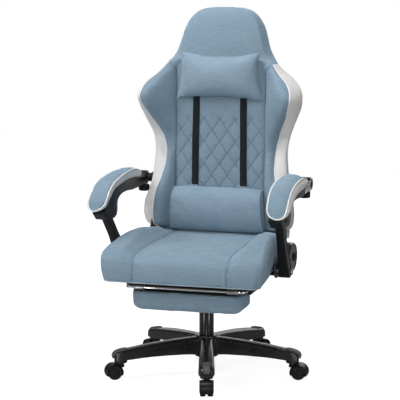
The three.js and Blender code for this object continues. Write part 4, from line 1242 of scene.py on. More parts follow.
def skin(name, verts, faces, mats, seam_shade=None, face_mats=None, sharp=None):
    o = make(name, verts, faces, mats, face_mats=face_mats, sharp=sharp)
    # the point attribute is painted shade: how much the cloth is darkened at each point along seams
    a = o.data.attributes.new("seam_shade", "FLOAT", "POINT")
    a.data.foreach_set("value", np.clip(np.zeros(len(verts)) if seam_shade is None else seam_shade, 0, 1).astype(np.float32))
    return o


def bvh(verts, faces):
    return BVHTree.FromPolygons([tuple(v) for v in np.asarray(verts, float)], [tuple(int(i) for i in f) for f in faces])


def on_surface(tree, p, d):
    """Where a ray from p along d meets the skin: (point, normal towards p)."""
    hit, n, _, _ = tree.ray_cast(Vector(p), Vector(d))
    if hit is None:
        return None
    if n.dot(Vector(d)) > 0:
        n = -n
    return np.array(hit), np.array(n)


def stitch_mesh(places, length=3.0, radius=0.42, lift=0.25, sink=0.5):
    """One short raised thread for each (point, direction, normal)."""
    verts, faces = [], []
    for p, d, n in places:
        d = d - n * (d @ n)
        ln = np.linalg.norm(d)
        if ln < 1e-6:
            continue
        d = d / ln
        s = np.cross(d, n)
        b = len(verts)
        verts.append(p - d * length * 0.5 - n * sink)
        for t, h, r in ((-0.3, lift * 0.6, 0.9), (0.0, lift, 1.0), (0.3, lift * 0.6, 0.9)):
            c = p + d * length * t + n * h
            for k in range(5):
                a = 2 * math.pi * k / 5
                verts.append(c + (s * math.cos(a) + n * math.sin(a)) * radius * r)
        verts.append(p + d * length * 0.5 - n * sink)
        for k in range(5):
            j = (k + 1) % 5
            faces.append((b, b + 1 + j, b + 1 + k))
            for q in (0, 5):
                faces.append((b + 1 + q + k, b + 1 + q + j, b + 6 + q + j, b + 6 + q + k))
            faces.append((b + 11 + k, b + 11 + j, b + 16))
    return np.array(verts), faces


def sew(tree, path, ray, pitch=4.4, start=120.0, offset=None):
    """Stitch places along a path, dropped on to the skin along ray."""
    path = np.asarray(path, float)
    n = max(2, int(np.linalg.norm(np.diff(path, axis=0), axis=1).sum() / pitch))
    q = resample(path, n)
    t = np.gradient(q, axis=0)
    ray = np.asarray(ray, float)
    out = []
    for p, d in zip(q, t):
        h = on_surface(tree, p - ray * start, ray)
        if h is not None:
            out.append((h[0], d / max(np.linalg.norm(d), 1e-9), h[1]))
    return out


def rounded_cube(nx, ny, nz, rx, ry, rlo, rhi):
    """Skin of a rounded box from -1 to 1: points after rounding, quads, and the cube points before it."""
    index, pts, faces = {}, [], []

    def vid(i, j, k):
        key = (i, j, k)
        if key not in index:
            index[key] = len(pts)
            pts.append((2 * i / nx - 1, 2 * j / ny - 1, 2 * k / nz - 1))
        return index[key]

    for k in (0, nz):
        for i in range(nx):
            for j in range(ny):
                faces.append((vid(i, j, k), vid(i + 1, j, k), vid(i + 1, j + 1, k), vid(i, j + 1, k)))
    for j in (0, ny):
        for i in range(nx):
            for k in range(nz):
                faces.append((vid(i, j, k), vid(i + 1, j, k), vid(i + 1, j, k + 1), vid(i, j, k + 1)))
    for i in (0, nx):
        for j in range(ny):
            for k in range(nz):
                faces.append((vid(i, j, k), vid(i, j + 1, k), vid(i, j + 1, k + 1), vid(i, j, k + 1)))
    p = np.array(pts)
    r = np.stack([np.full(len(p), rx), np.full(len(p), ry), np.where(p[:, 2] > 0, rhi, rlo)], 1)
    c = np.clip(p, -(1 - r), 1 - r)
    d = (p - c) / r
    ln = np.linalg.norm(d, axis=1)
    q = c + r * d / np.maximum(ln, 1e-9)[:, None]
    # quads wound outwards
    f = np.array(faces)
    nrm = np.cross(p[f[:, 2]] - p[f[:, 0]], p[f[:, 3]] - p[f[:, 1]])
    bad = (nrm * p[f].mean(1)).sum(1) < 0
    f[bad] = f[bad][:, ::-1]
    return q, [tuple(x) for x in f], p


# ------------------------------------------------------------------ the back
HEAD = np.array([[1044, 198, 172, 262], [1068, 175, 174.5, 268], [1095, 162, 177.5, 275], [1122, 153, 182, 280], [1149, 145, 187.5, 283], [1177, 133, 195, 285],
                 [1195, 121.5, 202, 283.5], [1207, 110, 209, 280], [1217, 96, 217, 275], [1224.5, 78, 226, 269], [1229, 52, 236, 262], [1230.6, 24, 243, 256], [1231, 6, 247, 252]])
_w = np.column_stack([HEAD[:, 1], HEAD[:, 0]])
HEAD_T = 1044 + np.r_[0, np.cumsum(np.linalg.norm(np.diff(_w, axis=0), axis=1))]
F_LIST = [(444, 228, 181), (466, 228, 180), (470, 226, 168), (474, 218, 130), (480, 222, 114), (490, 227, 111), (505, 229, 109), (525, 230, 107), (560, 229, 110), (600, 222, 120), (640, 210, 137), (674, 202, 150), (700, 199, 162), (726, 199, 174),
          (753, 201, 180), (781, 208, 180), (810, 218, 166), (840, 233, 146), (871, 249, 122), (902, 260, 96), (930, 268, 86), (955, 264, 100), (981, 249, 122), (1006, 222, 147), (1026, 200, 162), (1044, 185, 173)]
O_LIST = [(444, 243, 192), (466, 245, 192), (470, 245, 184), (474, 242, 156), (480, 254, 142), (490, 262, 138), (505, 267, 136), (525, 269.5, 134), (560, 267, 137), (600, 255, 146), (650, 244, 160), (698, 240, 171), (726, 237, 175), (753, 238, 180),
          (781, 243, 182), (809, 252, 176), (838, 264, 167), (867, 276, 158), (895, 288, 151), (923, 293, 147), (936, 292, 153), (962, 283, 168), (986, 262, 192), (1012, 229, 200), (1028, 210, 202), (1044, 195, 203)]
C_LIST = [(444, 196, 181), (466, 196, 180), (470, 197, 168), (474, 200, 128), (491, 205, 110), (540, 205, 106), (600, 195, 117), (650, 186, 131), (702, 180, 147), (753, 180, 166), (781, 186, 164), (810, 196, 150), (840, 209, 132), (867, 222, 113), (905, 236, 84),
          (935, 238, 78), (962, 232, 89), (986, 220, 112), (1012, 200, 140), (1030, 188, 158), (1044, 178, 167)]
R_LIST = [(444, 238, 214), (466, 239, 218), (474, 234, 224), (491, 245, 229), (540, 248, 232), (600, 238, 234), (650, 228, 236), (702, 222, 238), (753, 220, 242), (810, 234, 240), (867, 258, 236), (905, 270, 231), (935, 272, 227), (962, 264, 229),
          (986, 248, 233), (1012, 216, 241), (1030, 188, 247), (1044, 172, 250)]
CENTRE = [(444, 181), (466, 180), (470, 174), (474, 160), (560, 156.5), (640, 158), (928, 167), (1044, 172)]
REAR = [(444, 226), (466, 233), (474, 240), (560, 244), (740, 250), (930, 258), (1044, 262)]


def back_points(t):
    """Half-section control points at the levels t (a height up to 1044, then length along the head's outline)."""
    head = HEAD_T[1:]
    w, yf, yr = HEAD[1:, 1], HEAD[1:, 2], HEAD[1:, 3]
    dd = yr - yf

    def two(lst, hx, hy):
        a = np.array(lst, float)
        return pchip(np.r_[a[:, 0], head], np.column_stack([np.r_[a[:, 1], hx], np.r_[a[:, 2], hy]]), t)

    def one(lst, hy):
        a = np.array(lst, float)
        return pchip(np.r_[a[:, 0], head], np.r_[a[:, 1], hy], t)

    z = pchip(np.r_[np.array([444.0, 759.0]), HEAD_T], np.r_[np.array([444.0, 759.0]), HEAD[:, 0]], t)
    z = np.where(t <= 1044, t, z)
    f = two(F_LIST, 0.9 * w, yf + 0.150 * dd)
    o = two(O_LIST, w, yf + 0.46 * dd)
    c = two(C_LIST, 0.76 * w, yf + 0.066 * dd)
    r = two(R_LIST, 0.93 * w, yr - 0.17 * dd)
    yc, ye = one(CENTRE, yf), one(REAR, yr)
    xs = pchip(np.r_[444, 1012, 1044, head], np.r_[158, 158, 150, 0.55 * w], t)
    valley = 6 * (1 - smooth(t, 1000, 1044))
    ys = yc + 1.5 + 0.016 * np.clip((t - 1044) / 60, 0, 1) * pchip(np.r_[444, head], np.r_[90, dd], t) + valley
    # rounded lower edge
    e = np.clip((t - 474) / 14, 0, 1)
    e = 9 * (1 - np.sqrt(np.maximum(0, 1 - (1 - e) ** 2))) * smooth(t, 470, 474)
    f[:, 1] += e
    c[:, 1] += e
    o[:, 1] += 0.5 * e
    r[:, 1] -= e
    # a little narrower than the frame's limits, so that the piping stands at the outline
    trim = 1 - smooth(t, 1000, 1044)
    f[:, 0] -= 3.0 * trim
    o[:, 0] -= 3.5 * trim
    r[:, 0] -= 2.0 * trim
    return z, f, o, c, r, yc + e, ye - e, xs, ys + e


def make_back():
    t = np.unique(np.round(np.r_[444, 450, 458, 464, 466, 467.5, 469, 470.5, 472, 473, 474, 475, 476, 478.5, 482, 486, np.arange(491, 600, 5.0), np.arange(600, 874, 2.6), np.arange(876, 1000, 4.4), np.arange(1000, 1044, 3.0), 1044,
                                 np.arange(1047.5, HEAD_T[-1] - 2, 4.2), HEAD_T[-1]], 3))
    z, f, o, c, r, yc, ye, xs, ys = back_points(t)
    NC, NW, NG, NH, NR = 62, 26, 12, 14, 30
    rows = []
    for i in range(len(t)):
        S = np.array([xs[i], ys[i]])
        half = np.array([(0, yc[i]), (0.34 * xs[i], yc[i] + 0.3), (0.68 * xs[i], yc[i] + 1.2), (xs[i] - 0.09 * xs[i], yc[i] + 2.6 + 0.28 * (ys[i] - yc[i])), S])
        full = crom(np.vstack([(half * (-1, 1))[:0:-1], half]), 2 * NC + 1)[NC:]
        n = np.array([-(c[i] - S)[1], (c[i] - S)[0]])
        n = n / np.linalg.norm(n)
        n = n if n[1] < 0 else -n
        k = min(1, np.linalg.norm(c[i] - S) / 50) * (1 - 0.82 * float(smooth(t[i], 1010, 1062)))
        side = [S, S + 0.22 * (c[i] - S) + n * 3.2 * k, S + 0.55 * (c[i] - S) + n * 5.5 * k, S + 0.83 * (c[i] - S) + n * 4.2 * k, c[i] + (f[i] - c[i]) * 0.25 + np.array([0.3, -2.2]) * k, f[i]]
        wing = crom(side, NW + 1)[1:]
        go, gr = o[i] - f[i], r[i] - o[i]
        no = np.array([go[1], -go[0]]) / max(np.linalg.norm(go), 1e-6)
        nr = np.array([gr[1], -gr[0]]) / max(np.linalg.norm(gr), 1e-6)
        q = min(1, np.linalg.norm(gr) / 60)
        gus = crom([f[i], f[i] + 0.5 * go + no * 3.0 * q, o[i], o[i] + 0.5 * gr + nr * 5.0 * q, r[i]], NG + NH + 1)[1:]
        re = [r[i], r[i] + (np.array([0.86 * r[i][0], ye[i] - 3]) - r[i]), np.array([0.6 * r[i][0], ye[i] - 0.8]), np.array([0.25 * r[i][0], ye[i]]), np.array([0, ye[i]])]
        rear = crom(re, NR + 1)[1:]
        h = np.vstack([full, wing, gus, rear])
        ring = np.vstack([h, (h * (-1, 1))[-2:0:-1]])
        rows.append(np.column_stack([ring, np.full(len(ring), z[i])]))
    rings = np.array(rows)
    k, n, _ = rings.shape
    verts, faces = rings_mesh(rings, caps=False)
    verts = np.vstack([verts, rings[-1].mean(0)])
    top = len(verts) - 1
    for i in range(n):
        faces.append(((k - 1) * n + i, (k - 1) * n + (i + 1) % n, top))
    half_n = NC + NW + NG + NH + NR
    col = np.arange(n)
    hc = np.where(col <= half_n, col, n - col)
    col_of = np.r_[np.tile(hc, k), half_n // 2]
    row_t = np.r_[np.repeat(t, n), t[-1]]
    nrm = outward(verts, faces)
    x, y, zz = verts.T
    ax = np.abs(x)
    front = col_of <= NC + NW
    rearm = col_of >= NC + NW + NG + NH
    # panel seams, drawn on the face seen from the front
    seam_path = np.array([(158, 460), (158, 1006), (160, 1016), (166, 1026), (176, 1036), (192, 1046)])
    xz = np.column_stack([ax, zz])
    d_s = np.where(front, to_path(xz, seam_path), 99)
    arc_len = np.linalg.norm(np.roll(rings, -1, 1) - rings, axis=2)
    s_along = np.cumsum(np.c_[np.zeros(k), arc_len[:, :-1]], axis=1)
    at_f = s_along[:, NC + NW][:, None]
    at_r = s_along[:, NC + NW + NG + NH][:, None]
    half_s = np.where(col[None, :] <= half_n, s_along, s_along[:, half_n][:, None] * 2 - s_along)
    d_f = np.r_[np.abs(half_s - at_f).ravel(), 99]
    d_r = np.r_[np.abs(half_s - at_r).ravel(), 99]
    d_f = np.where(row_t <= 1046, d_f, 99)
    d_r = np.where(row_t <= HEAD_T[-1] - 60, d_r, 99)
    rear_path = np.array([(0, 1004), (70, 1004), (104, 998), (122, 980), (128, 950), (128, 470)])
    d_b = np.where(rearm, to_path(xz, rear_path), 99)
    head_seam = np.array([(150, 1046), (196, 1046)])
    # diamonds
    u = x / 56 + (zz - 852) / 78
    v = x / 56 - (zz - 852) / 78
    g = 0.02198
    du, dv = np.abs(u - np.round(u)) / g, np.abs(v - np.round(v)) / g
    fade = smooth(868 - zz, 0, 8) * smooth(157 - ax, 0, 5) * (col_of <= NC)
    plump = (np.abs(np.sin(math.pi * u)) * np.abs(np.sin(math.pi * v))) ** 0.62
    dq = np.minimum(du, dv)
    knot = np.exp(-((du ** 2 + dv ** 2) / 3.2 ** 2))
    out = fade * (2.2 * plump - 0.9 + dip(dq, 1.4, 2.0) - 1.1 * knot)
    out += dip(d_s, 2.3, 2.6) + 0.9 * (np.exp(-((d_s - 9) / 7) ** 2))
    out += dip(d_f, 1.6, 3.4) + dip(d_r, 1.8, 2.6) + dip(d_b, 1.7, 2.4)
    out += 0.55 * ripple(verts, 95, 3) + 0.22 * ripple(verts, 34, 4)
    out += pucker(verts, d_s, 17, 0.42, 9, 11) + pucker(verts, d_f, 19, 0.35, 8, 13) + pucker(verts, d_r, 19, 0.4, 9, 17) + pucker(verts, d_b, 18, 0.35, 8, 19)
    moved = verts + nrm * out[:, None]
    # painted shade along the panel seams, the rear seams, the quilting lines and in the quilting knots
    seam_shade = np.maximum.reduce([np.exp(-(d_s / 1.7) ** 2), 0.75 * np.exp(-(d_r / 1.6) ** 2), 0.8 * np.exp(-(d_b / 1.6) ** 2), fade * np.exp(-(dq / 1.5) ** 2) * 0.85, fade * knot])
    # bottom closed by one face
    faces.append(tuple(range(n))[::-1])
    fm = []
    for i in range(k - 1):
        low = t[i] < 1044 - 1e-6
        for j in range(n):
            h = hc[j] if hc[(j + 1) % n] > hc[j] else hc[(j + 1) % n]
            fm.append(1 if low and NC + NW <= h < NC + NW + NG + NH else 0)
    fm += [0] * n + [2]
    body = skin("back_upholstery", moved, faces, [BLUE, WHITE, LINING], seam_shade, fm)
    tree = bvh(moved, faces[:-1])
    # piping round the wings' front edges
    idx = [i for i in range(k) if t[i] <= 1044 and t[i] >= 474]
    made = [body]
    for sg in (1, -1):
        cidx = NC + NW if sg > 0 else n - (NC + NW)
        path = np.array([moved[i * n + cidx] + nrm[i * n + cidx] * 1.5 for i in idx])
        path = resample(path, 190)
        rad = np.interp(path[:, 2], [474, 900, 960, 1044], [2.4, 2.4, 1.9, 1.7])
        rad[-3:] = (1.5, 1.2, 0.8)
        made.append(make("piping", *tube(path, rad, 10), PIPING))
    # threads: both diagonals of the quilting, and a row each side of the panel seams
    places = []
    for i in range(-9, 10):
        for sgn in (1, -1):
            pts = []
            for zq in np.arange(478, 866, 2.0):
                xq = 56 * (i - sgn * (zq - 852) / 78)
                if abs(xq) < 154.5:
                    pts.append((xq, 0, zq))
            if len(pts) > 4:
                places += sew(tree, [pts[0], pts[-1]], (0, 1, 0), 4.3, 0)
    for sg in (1, -1):
        for off in (-5.0, 5.0):
            path = [((158 + off) * sg, 0, q) for q in np.arange(500, 1004, 12.0)]
            places += sew(tree, path, (0, 1, 0), 5.0, 0)
        for off in (5.0,):
            path = [((q + 3.0) * sg, 0, zq - off) for q, zq in ((161, 1012), (167, 1021), (177, 1031), (188, 1039))]
            places += sew(tree, path, (0, 1, 0), 5.0, 0)
        path = [((rear_path[j][0] + (5 if j > 2 else 0)) * sg, 420, rear_path[j][1] + (5 if j < 4 else 0)) for j in range(len(rear_path))]
        places += sew(tree, crom(path, 60), (0, -1, 0), 5.0, 0)
    made.append(make("thread", *stitch_mesh(places), THREAD))
    # zip along the back's lower edge
    zip_path = []
    for xq in np.linspace(-118, 118, 60):
        h = on_surface(tree, (xq, 420, 512), (0, -1, 0))
        zip_path.append(h[0] + h[1] * 0.2)
    zp = np.array(zip_path)
    made.append(make("zip_tape", *tube(zp, 1, 10, flat=(0.7, 4.2), up=(0, 0, 1)), NYLON_DULL))
    teeth = [(p + np.array([0, 1.0, 0]), np.array([0, 0, 1.0]), np.array([0, 1.0, 0])) for p in resample(zp, 110)]
    made.append(make("zip_teeth", *stitch_mesh(teeth, 3.4, 0.62, 0.2, 0.3), NYLON))
    e = zp[-3]
    made.append(prism("zip_pull", fillet([(e[0] - 2.2, e[2] + 2), (e[0] + 2.2, e[2] + 2), (e[0] + 3, e[2] - 16), (e[0] - 3, e[2] - 16)], 1.4, 4), e[1] + 1.4, e[1] + 3.0, STEEL, "y", 0.4, 2))
    o = join("back_upholstery", made)
    place(o, "back", ["back_cushion", "back_bolster_left", "back_bolster_right"])
    return tree


BACK_TREE = make_back()


# ------------------------------------------------------------------ straps
def make_strap(side, s):
    zs = np.arange(558, 1032, 5.0)
    ys = []
    for zq in zs:
        xm = s * (84.75 + 2.6 * (1 - smooth(zq, 600, 960)) - 1.0)
        best = min(on_surface(BACK_TREE, (xm + dx, 0, zq), (0, 1, 0))[0][1] for dx in (-11, -6, 0, 6, 11))
        ys.append(best)
    ys = np.array(ys)
    run = np.array([ys[max(0, i - 2):i + 3].min() for i in range(len(ys))])
    kern = np.array([1, 2, 3, 2, 1]) / 9
    run = np.convolve(np.pad(run, 2, mode="edge"), kern, "valid") - 1.05
    rings = []
    for i, zq in enumerate(zs):
        xm = s * (84.75 + 2.6 * (1 - smooth(zq, 600, 960)) - 1.0)
        y = run[i]
        wave = 0.25 * math.sin(zq / 31 + s)
        sec = fillet([(-12.2, -0.85), (12.2, -0.85), (12.2, 0.85), (-12.2, 0.85)], 0.8, 4)
        rings.append([(xm + a + wave, y + b - 0.25 * math.cos(a / 12.2 * 1.4), zq) for a, b in sec])
    v, f = rings_mesh(np.array(rings))
    o = [make("band", v, f, STRAP, sharp=50)]
    # row of stitches along each edge
    tree = bvh(v, f)
    places = []
    for off in (-10.2, 10.2):
        path = [(s * (84.75 + 2.6 * (1 - smooth(zq, 600, 960)) - 1.0) + off, 0, zq) for zq in zs[1:-1]]
        places += sew(tree, path, (0, 1, 0), 6.0, 0)
    o.append(make("thread", *stitch_mesh(places, 3.6, 0.35, 0.15, 0.3), STRAP))
    o = join("back_strap_" + side, o)
    place(o, "back", ["strap_" + side])


for side, s in SIDES:
    make_strap(side, s)


# ------------------------------------------------------------------ seat cushion
def make_seat():
    q, faces, cube = rounded_cube(136, 126, 32, 0.075, 0.09, 0.15, 0.62)
    a, b, c = q.T
    y = -64.0 + 262.0 * b
    y = np.where(y > 160, 160 + 11.5 * np.tanh((y - 160) / 13.0), y)
    wid = pchip([-326, -310, -296, -264, -220, -150, -100, -86, -72, 30, 44, 56, 110, 140, 172], [275, 277.5, 278.5, 277.5, 273.5, 267, 261.5, 256, 249.5, 248.5, 246, 221, 221, 220, 214], y)
    top = pchip([-326, -310, -290, -264, -220, -150, -60, 20, 104, 150, 172], [452, 455, 457, 458.8, 461, 462, 462, 462, 461.4, 461.8, 467], y)
    crest = pchip([-326, -310, -296, -264, -220, -150, -88, -60, 0, 40, 60, 104, 132, 150, 172], [464, 471, 476, 482, 488, 496, 499, 498.5, 493.5, 488, 485.5, 470, 463.5, 461, 458], y)
    base = pchip([-326, -310, -296, -270, 150, 172], [361.5, 359.4, 359.4, 362.4, 363.4, 368], y)
    h = (c + 1) / 2
    draft = 1 - 0.052 * (1 - h) ** 1.3
    x = a * wid * draft
    ax = np.abs(x)
    # plateau between the seams, foam rolls outside them
    line = pchip([-330, -270, 0, 80, 172], [160, 160, 154, 150, 148], y)
    roll = smooth(ax, line - 4, line + 46)
    fall = smooth(ax, 205, 270) * 9
    ztop = top + 2.4 * (1 - smooth(y, 40, 92)) * (1 - np.clip(ax / line, 0, 1) ** 2) - 3.0 * smooth(ax, line - 40, line) * (1 - roll) + (crest - top) * roll - fall * 0.8
    z = base + (ztop - base) * h
    # the nose leans and swells forward in the middle of its height
    nose = smooth(-y, 210, 326)
    y = y + nose * 15 * h ** 3
    y = y - nose * (3.5 * np.sin(math.pi * np.clip(h, 0, 1)) - 2.0 * (ax / 260) ** 2)
    v = np.column_stack([x, y, z])
    nrm = outward(v, faces)
    # sides swell a little
    side = smooth(np.abs(nrm[:, 0]), 0.5, 0.95) * np.sin(math.pi * np.clip((z - 363) / 110, 0, 1))
    v = v + nrm * (side * 3.0)[:, None] * (np.abs(x) < 300)[:, None]
    lim = np.interp(v[:, 1], [-330, -264, -220, -150, -92, -76, 46, 54], [280.0, 279.0, 275.0, 269.0, 263.4, 250.6, 250.6, 221.2])
    over = np.abs(v[:, 0]) > lim
    v[over, 0] = np.sign(v[over, 0]) * lim[over]
    nrm = outward(v, faces)
    xx, yy, zz = v.T
    ax = np.abs(xx)
    up = nrm[:, 2] > -0.3
    d_line = np.where(up, np.abs(ax - pchip([-330, -270, 0, 80, 172], [160, 160, 154, 150, 148], yy)), 99)
    # boxing seam: along the sides and round the nose, low down
    low = 372.0
    d_low = np.where(np.abs(nrm[:, 2]) < 0.8, np.abs(zz - (base + 7)), 99)
    # where the roll's outer panel is joined on: from the nose's outer corner back along the crest's outside
    out = dip(d_line, 2.8, 2.8) + 1.5 * np.exp(-((d_line - 9) / 7) ** 2)
    out += dip(d_low, 1.3, 2.2)
    vis = smooth(nrm[:, 2], -0.6, 0.0)
    out += vis * (0.75 * ripple(v, 120, 31) + 0.3 * ripple(v, 44, 32) + pucker(v, d_line, 19, 0.5, 11, 33) + pucker(v, d_low, 21, 0.6, 12, 35))
    m = v + nrm * out[:, None]
    m[over, 0] = np.sign(m[over, 0]) * np.minimum(np.abs(m[over, 0]), lim[over])
    m[:, 2] = np.maximum(m[:, 2], 362.9)
    # recess for the board underneath
    under = (np.abs(cube[:, 2] + 1) < 1e-6)
    inside = under & (np.abs(m[:, 0]) < 211) & (m[:, 1] > -284) & (m[:, 1] < 150)
    m[inside, 2] = 375.6
    # painted shade along the top panel seams and the boxing seam
    seam_shade = np.maximum(np.exp(-(d_line / 1.8) ** 2), 0.6 * np.exp(-(d_low / 1.8) ** 2))
    fm = [2 if all(under[i] for i in f) else 0 for f in faces]
    body = skin("seat_upholstery", m, faces, [BLUE, WHITE, LINING], seam_shade, fm)
    tree = bvh(m, faces)
    places = []
    for sg in (1, -1):
        for off in (-5.0, 5.0):
            path = [((pchip([-330, -270, 0, 80, 172], [160, 160, 154, 150, 148], [yq])[0] + off) * sg, yq, 600) for yq in np.arange(-272, 150, 12.0)]
            places += sew(tree, path, (0, 0, -1), 5.0, 0)
            path = [((160 + off) * sg, -420, zq) for zq in np.arange(378, 444, 6.0)]
            places += sew(tree, path, (0, 1, 0), 5.0, 0)
    made = [body, make("thread", *stitch_mesh(places), THREAD)]
    # pale binding round the lower edge
    ring = []
    cen = np.array([0.0, -80.0])
    for th in np.linspace(0, 2 * math.pi, 720, endpoint=False):
        d = np.array([math.cos(th), math.sin(th), 0])
        hit = on_surface(tree, np.array([0, -80, 0]) + d * 520 + np.array([0, 0, 366.0]), -d)
        if hit is not None:
            ring.append(hit[0] + hit[1] * 0.5)
    ring = np.array(ring)
    made.append(make("binding", *tube(resample(ring, 360, True), 1.9, 8, closed=True, up=(0, 0, 1)), TRIM))
    o = join("seat_upholstery", made)
    place(o, "seat", ["seat_cushion"])


make_seat()


# ------------------------------------------------------------------ arm pads
A_LOW = [(-259, 582.6), (-250, 590.5), (-232.5, 605.9), (-202, 625.9), (-173, 643.9), (-108, 656.9), (-60, 659.2), (-13, 659.9), (40, 657.2), (90, 652.9), (116, 650.8)]
A_TOP = [(-267, 586), (-259, 604), (-250, 620), (-230, 643), (-200, 663), (-160, 677), (-110, 686.5), (-60, 691), (-20, 692), (18, 690.8), (52, 686.5), (82, 678.5), (104, 668), (119, 656)]


def make_arm_pad(side, s):
    NS = 150
    low, upp = crom(A_LOW, NS), crom(A_TOP, NS)
    mid = (low + upp) / 2
    sl = np.r_[0, np.cumsum(np.linalg.norm(np.diff(mid, axis=0), axis=1))]
    L = sl[-1]
    # stations packed at the round ends
    R0, R1 = 36.0, 20.0
    st = np.unique(np.round(np.r_[R0 * (1 - np.cos(np.linspace(0.10, math.pi / 2, 18))), np.arange(R0 + 3.4, L - R1 - 2, 3.4), L - R1 * (1 - np.cos(np.linspace(math.pi / 2, 0.14, 12)))], 3))
    lo = np.column_stack([np.interp(st, sl, low[:, i]) for i in (0, 1)])
    up = np.column_stack([np.interp(st, sl, upp[:, i]) for i in (0, 1)])
    ym = (lo[:, 0] + up[:, 0]) / 2
    inner = 265.0 + 10.0 * np.clip((-ym - 120) / 140, 0, 1)
    outer = 330.0 + 15.0 * np.clip((100 - ym) / 300, 0, 1)
    xm, hw = (inner + outer) / 2, (outer - inner) / 2
    e0 = np.clip(st / R0, 0, 1)
    e1 = np.clip((L - st) / R1, 0, 1)
    wid = hw * np.where(e0 < 1, np.sqrt(np.maximum(0, 1 - (1 - e0) ** 2)), 1)
    wid = np.where(e1 < 1, (hw - R1) + R1 * np.sqrt(np.maximum(0, 1 - (1 - e1) ** 2)), wid)
    NB, NG, NT = 20, 9, 40
    HG_AT = (0.90, 0.86, 0.74, 0.66, 0.62)
    IN_BY = 0.80
    span = smooth(st, 26, 80) * (1 - smooth(st, L - 110, L - 40))
    rings = []
    for i in range(len(st)):
        d = up[i] - lo[i]
        H = np.linalg.norm(d)
        dn = d / H
        tn = np.array([-dn[1], dn[0]])
        ux = np.linspace(-1, 1, NT + 1)
        ux = np.sin(ux * math.pi / 2) * 0.5 + ux * 0.5
        ring = []
        w = wid[i]
        for u in ux:
            wu = w * (IN_BY if u > 0 else 1)
            hu = hw[i] * (IN_BY if u > 0 else 1)
            X = u * wu
            # distance from the edge, seen from above
            s0, s1 = st[i], L - st[i]
            edge = wu - abs(X)
            if s0 < R0:
                edge = min(edge, hu * (1 - math.hypot((R0 - s0) / R0, X / hu)))
            if s1 < R1:
                qx = max(0, abs(X) - (hu - R1))
                edge = min(edge, R1 - math.hypot(R1 - s1, qx))
            edge = max(0, edge)
            # the inner side stands tall, the outer side rolls over lower down
            hg = float(np.interp(u, [-1, -0.55, 0.1, 0.7, 1], HG_AT))
            cr = 1 - (1 - min(1, edge / (20 + 9 * (u + 1)))) ** 2.3
            hh = H * hg + H * (1 - hg) * cr * (0.86 - 0.14 * u) + (1.5 - 2.5 * u) * cr
            ring.append((xm[i] + X, *(lo[i] + dn * hh)))
        for g in np.linspace(0, 1, NG + 1)[1:-1]:
            out_by = IN_BY + (1 - IN_BY) * math.sin(math.pi / 2 * min(1, g / 0.6))
            ring.append((xm[i] + w * out_by, *(lo[i] + dn * (H * HG_AT[-1] * (1 - g) - 15 * span[i] * g))))
        for u in np.linspace(1, -1, NB + 1):
            X = xm[i] + u * (w - 1.2 if w > 4 else w * 0.8)
            ring.append((X, *(lo[i] + dn * (0.2 - 15 * span[i] * float(smooth(X, 323.2, 326.5))))))
        for g in np.linspace(1, 0, NG + 1)[1:-1]:
            bulge = 1.5 * math.sin(math.pi * g)
            ring.append((xm[i] - w - bulge * min(1, w / hw[i] * 1.2), *(lo[i] + dn * H * HG_AT[0] * (1 - g))))
        rings.append(ring)
    rings = np.array(rings)
    k, n, _ = rings.shape
    verts, faces = rings_mesh(rings, caps=False)
    faces.append(tuple(range(n))[::-1])
    faces.append(tuple(k * n - n + i for i in range(n)))
    idx = np.arange(n)
    is_top = idx <= NT
    gus_r = (idx >= NT) & (idx <= NT + NG)
    gus_l = (idx >= NT + NG + NB) | (idx == 0)
    nrm = outward(verts, faces[:-2])
    top_mask = np.tile(is_top, k)
    # distance from the piping edge
    left_e, right_e = rings[:, 0], rings[:, NT]
    loop = np.vstack([left_e[::-1], right_e])
    loop = np.vstack([loop, loop[:1]])
    d_e = to_path(verts, resample(loop, 260))
    low_l, low_r = rings[:, NT + NG + NB], rings[:, NT + NG]
    loop2 = np.vstack([low_l[::-1], low_r, low_l[-1:]])
    d_l = to_path(verts, resample(loop2, 200))
    out = dip(d_e, 1.0, 3.0) + np.where(top_mask, 1, 0.3) * (pucker(verts, d_e, 15, 0.4, 8, 51 + int(s)) + 0.45 * ripple(verts, 70, 53 + int(s)) + 0.2 * ripple(verts, 27, 55)) + dip(d_l, 0.7, 2.4)
    m = verts + nrm * out[:, None]
    # painted shade along the piping edge and, fainter, along the lower seam
    seam_shade = np.maximum(np.exp(-(d_e / 1.6) ** 2), 0.5 * np.exp(-(d_l / 1.6) ** 2))
    fm = []
    for i in range(k - 1):
        for j in range(n):
            jj = (j + 1) % n
            if j < NT:
                fm.append(0)
            elif NT + NG <= j < NT + NG + NB:
                fm.append(2)
            else:
                fm.append(1)
    fm += [1, 1]
    m[:, 0] *= s
    loop[:, 0] *= s
    body = skin("arm_pad_upholstery_" + side, m, faces, [BLUE, WHITE, LINING], seam_shade, fm)
    tree = bvh(m, faces[:-2])
    nl = outward(m, faces[:-2])
    # piping on the edge
    tubes = []
    lp = np.vstack([np.column_stack([left_e[:, 0] * s, left_e[:, 1:]])[::-1], np.column_stack([right_e[:, 0] * s, right_e[:, 1:]])])
    lift = []
    il = [i * n for i in range(k)][::-1] + [i * n + NT for i in range(k)]
    lp = np.array([m[i] + nl[i] * 1.3 for i in il])
    tubes.append(make("piping", *tube(resample(lp, 300, True), 2.5, 10, closed=True, up=(0, 0.15, 1)), PIPING))
    places = []
    for off in (0.86,):
        for sg in (1, -1):
            path = [((xm[i] + sg * (wid[i] * (IN_BY if sg > 0 else 1) - 6.5)) * s, up[i][0], up[i][1] + 60) for i in range(k) if wid[i] > 12]
            path = np.array(path)
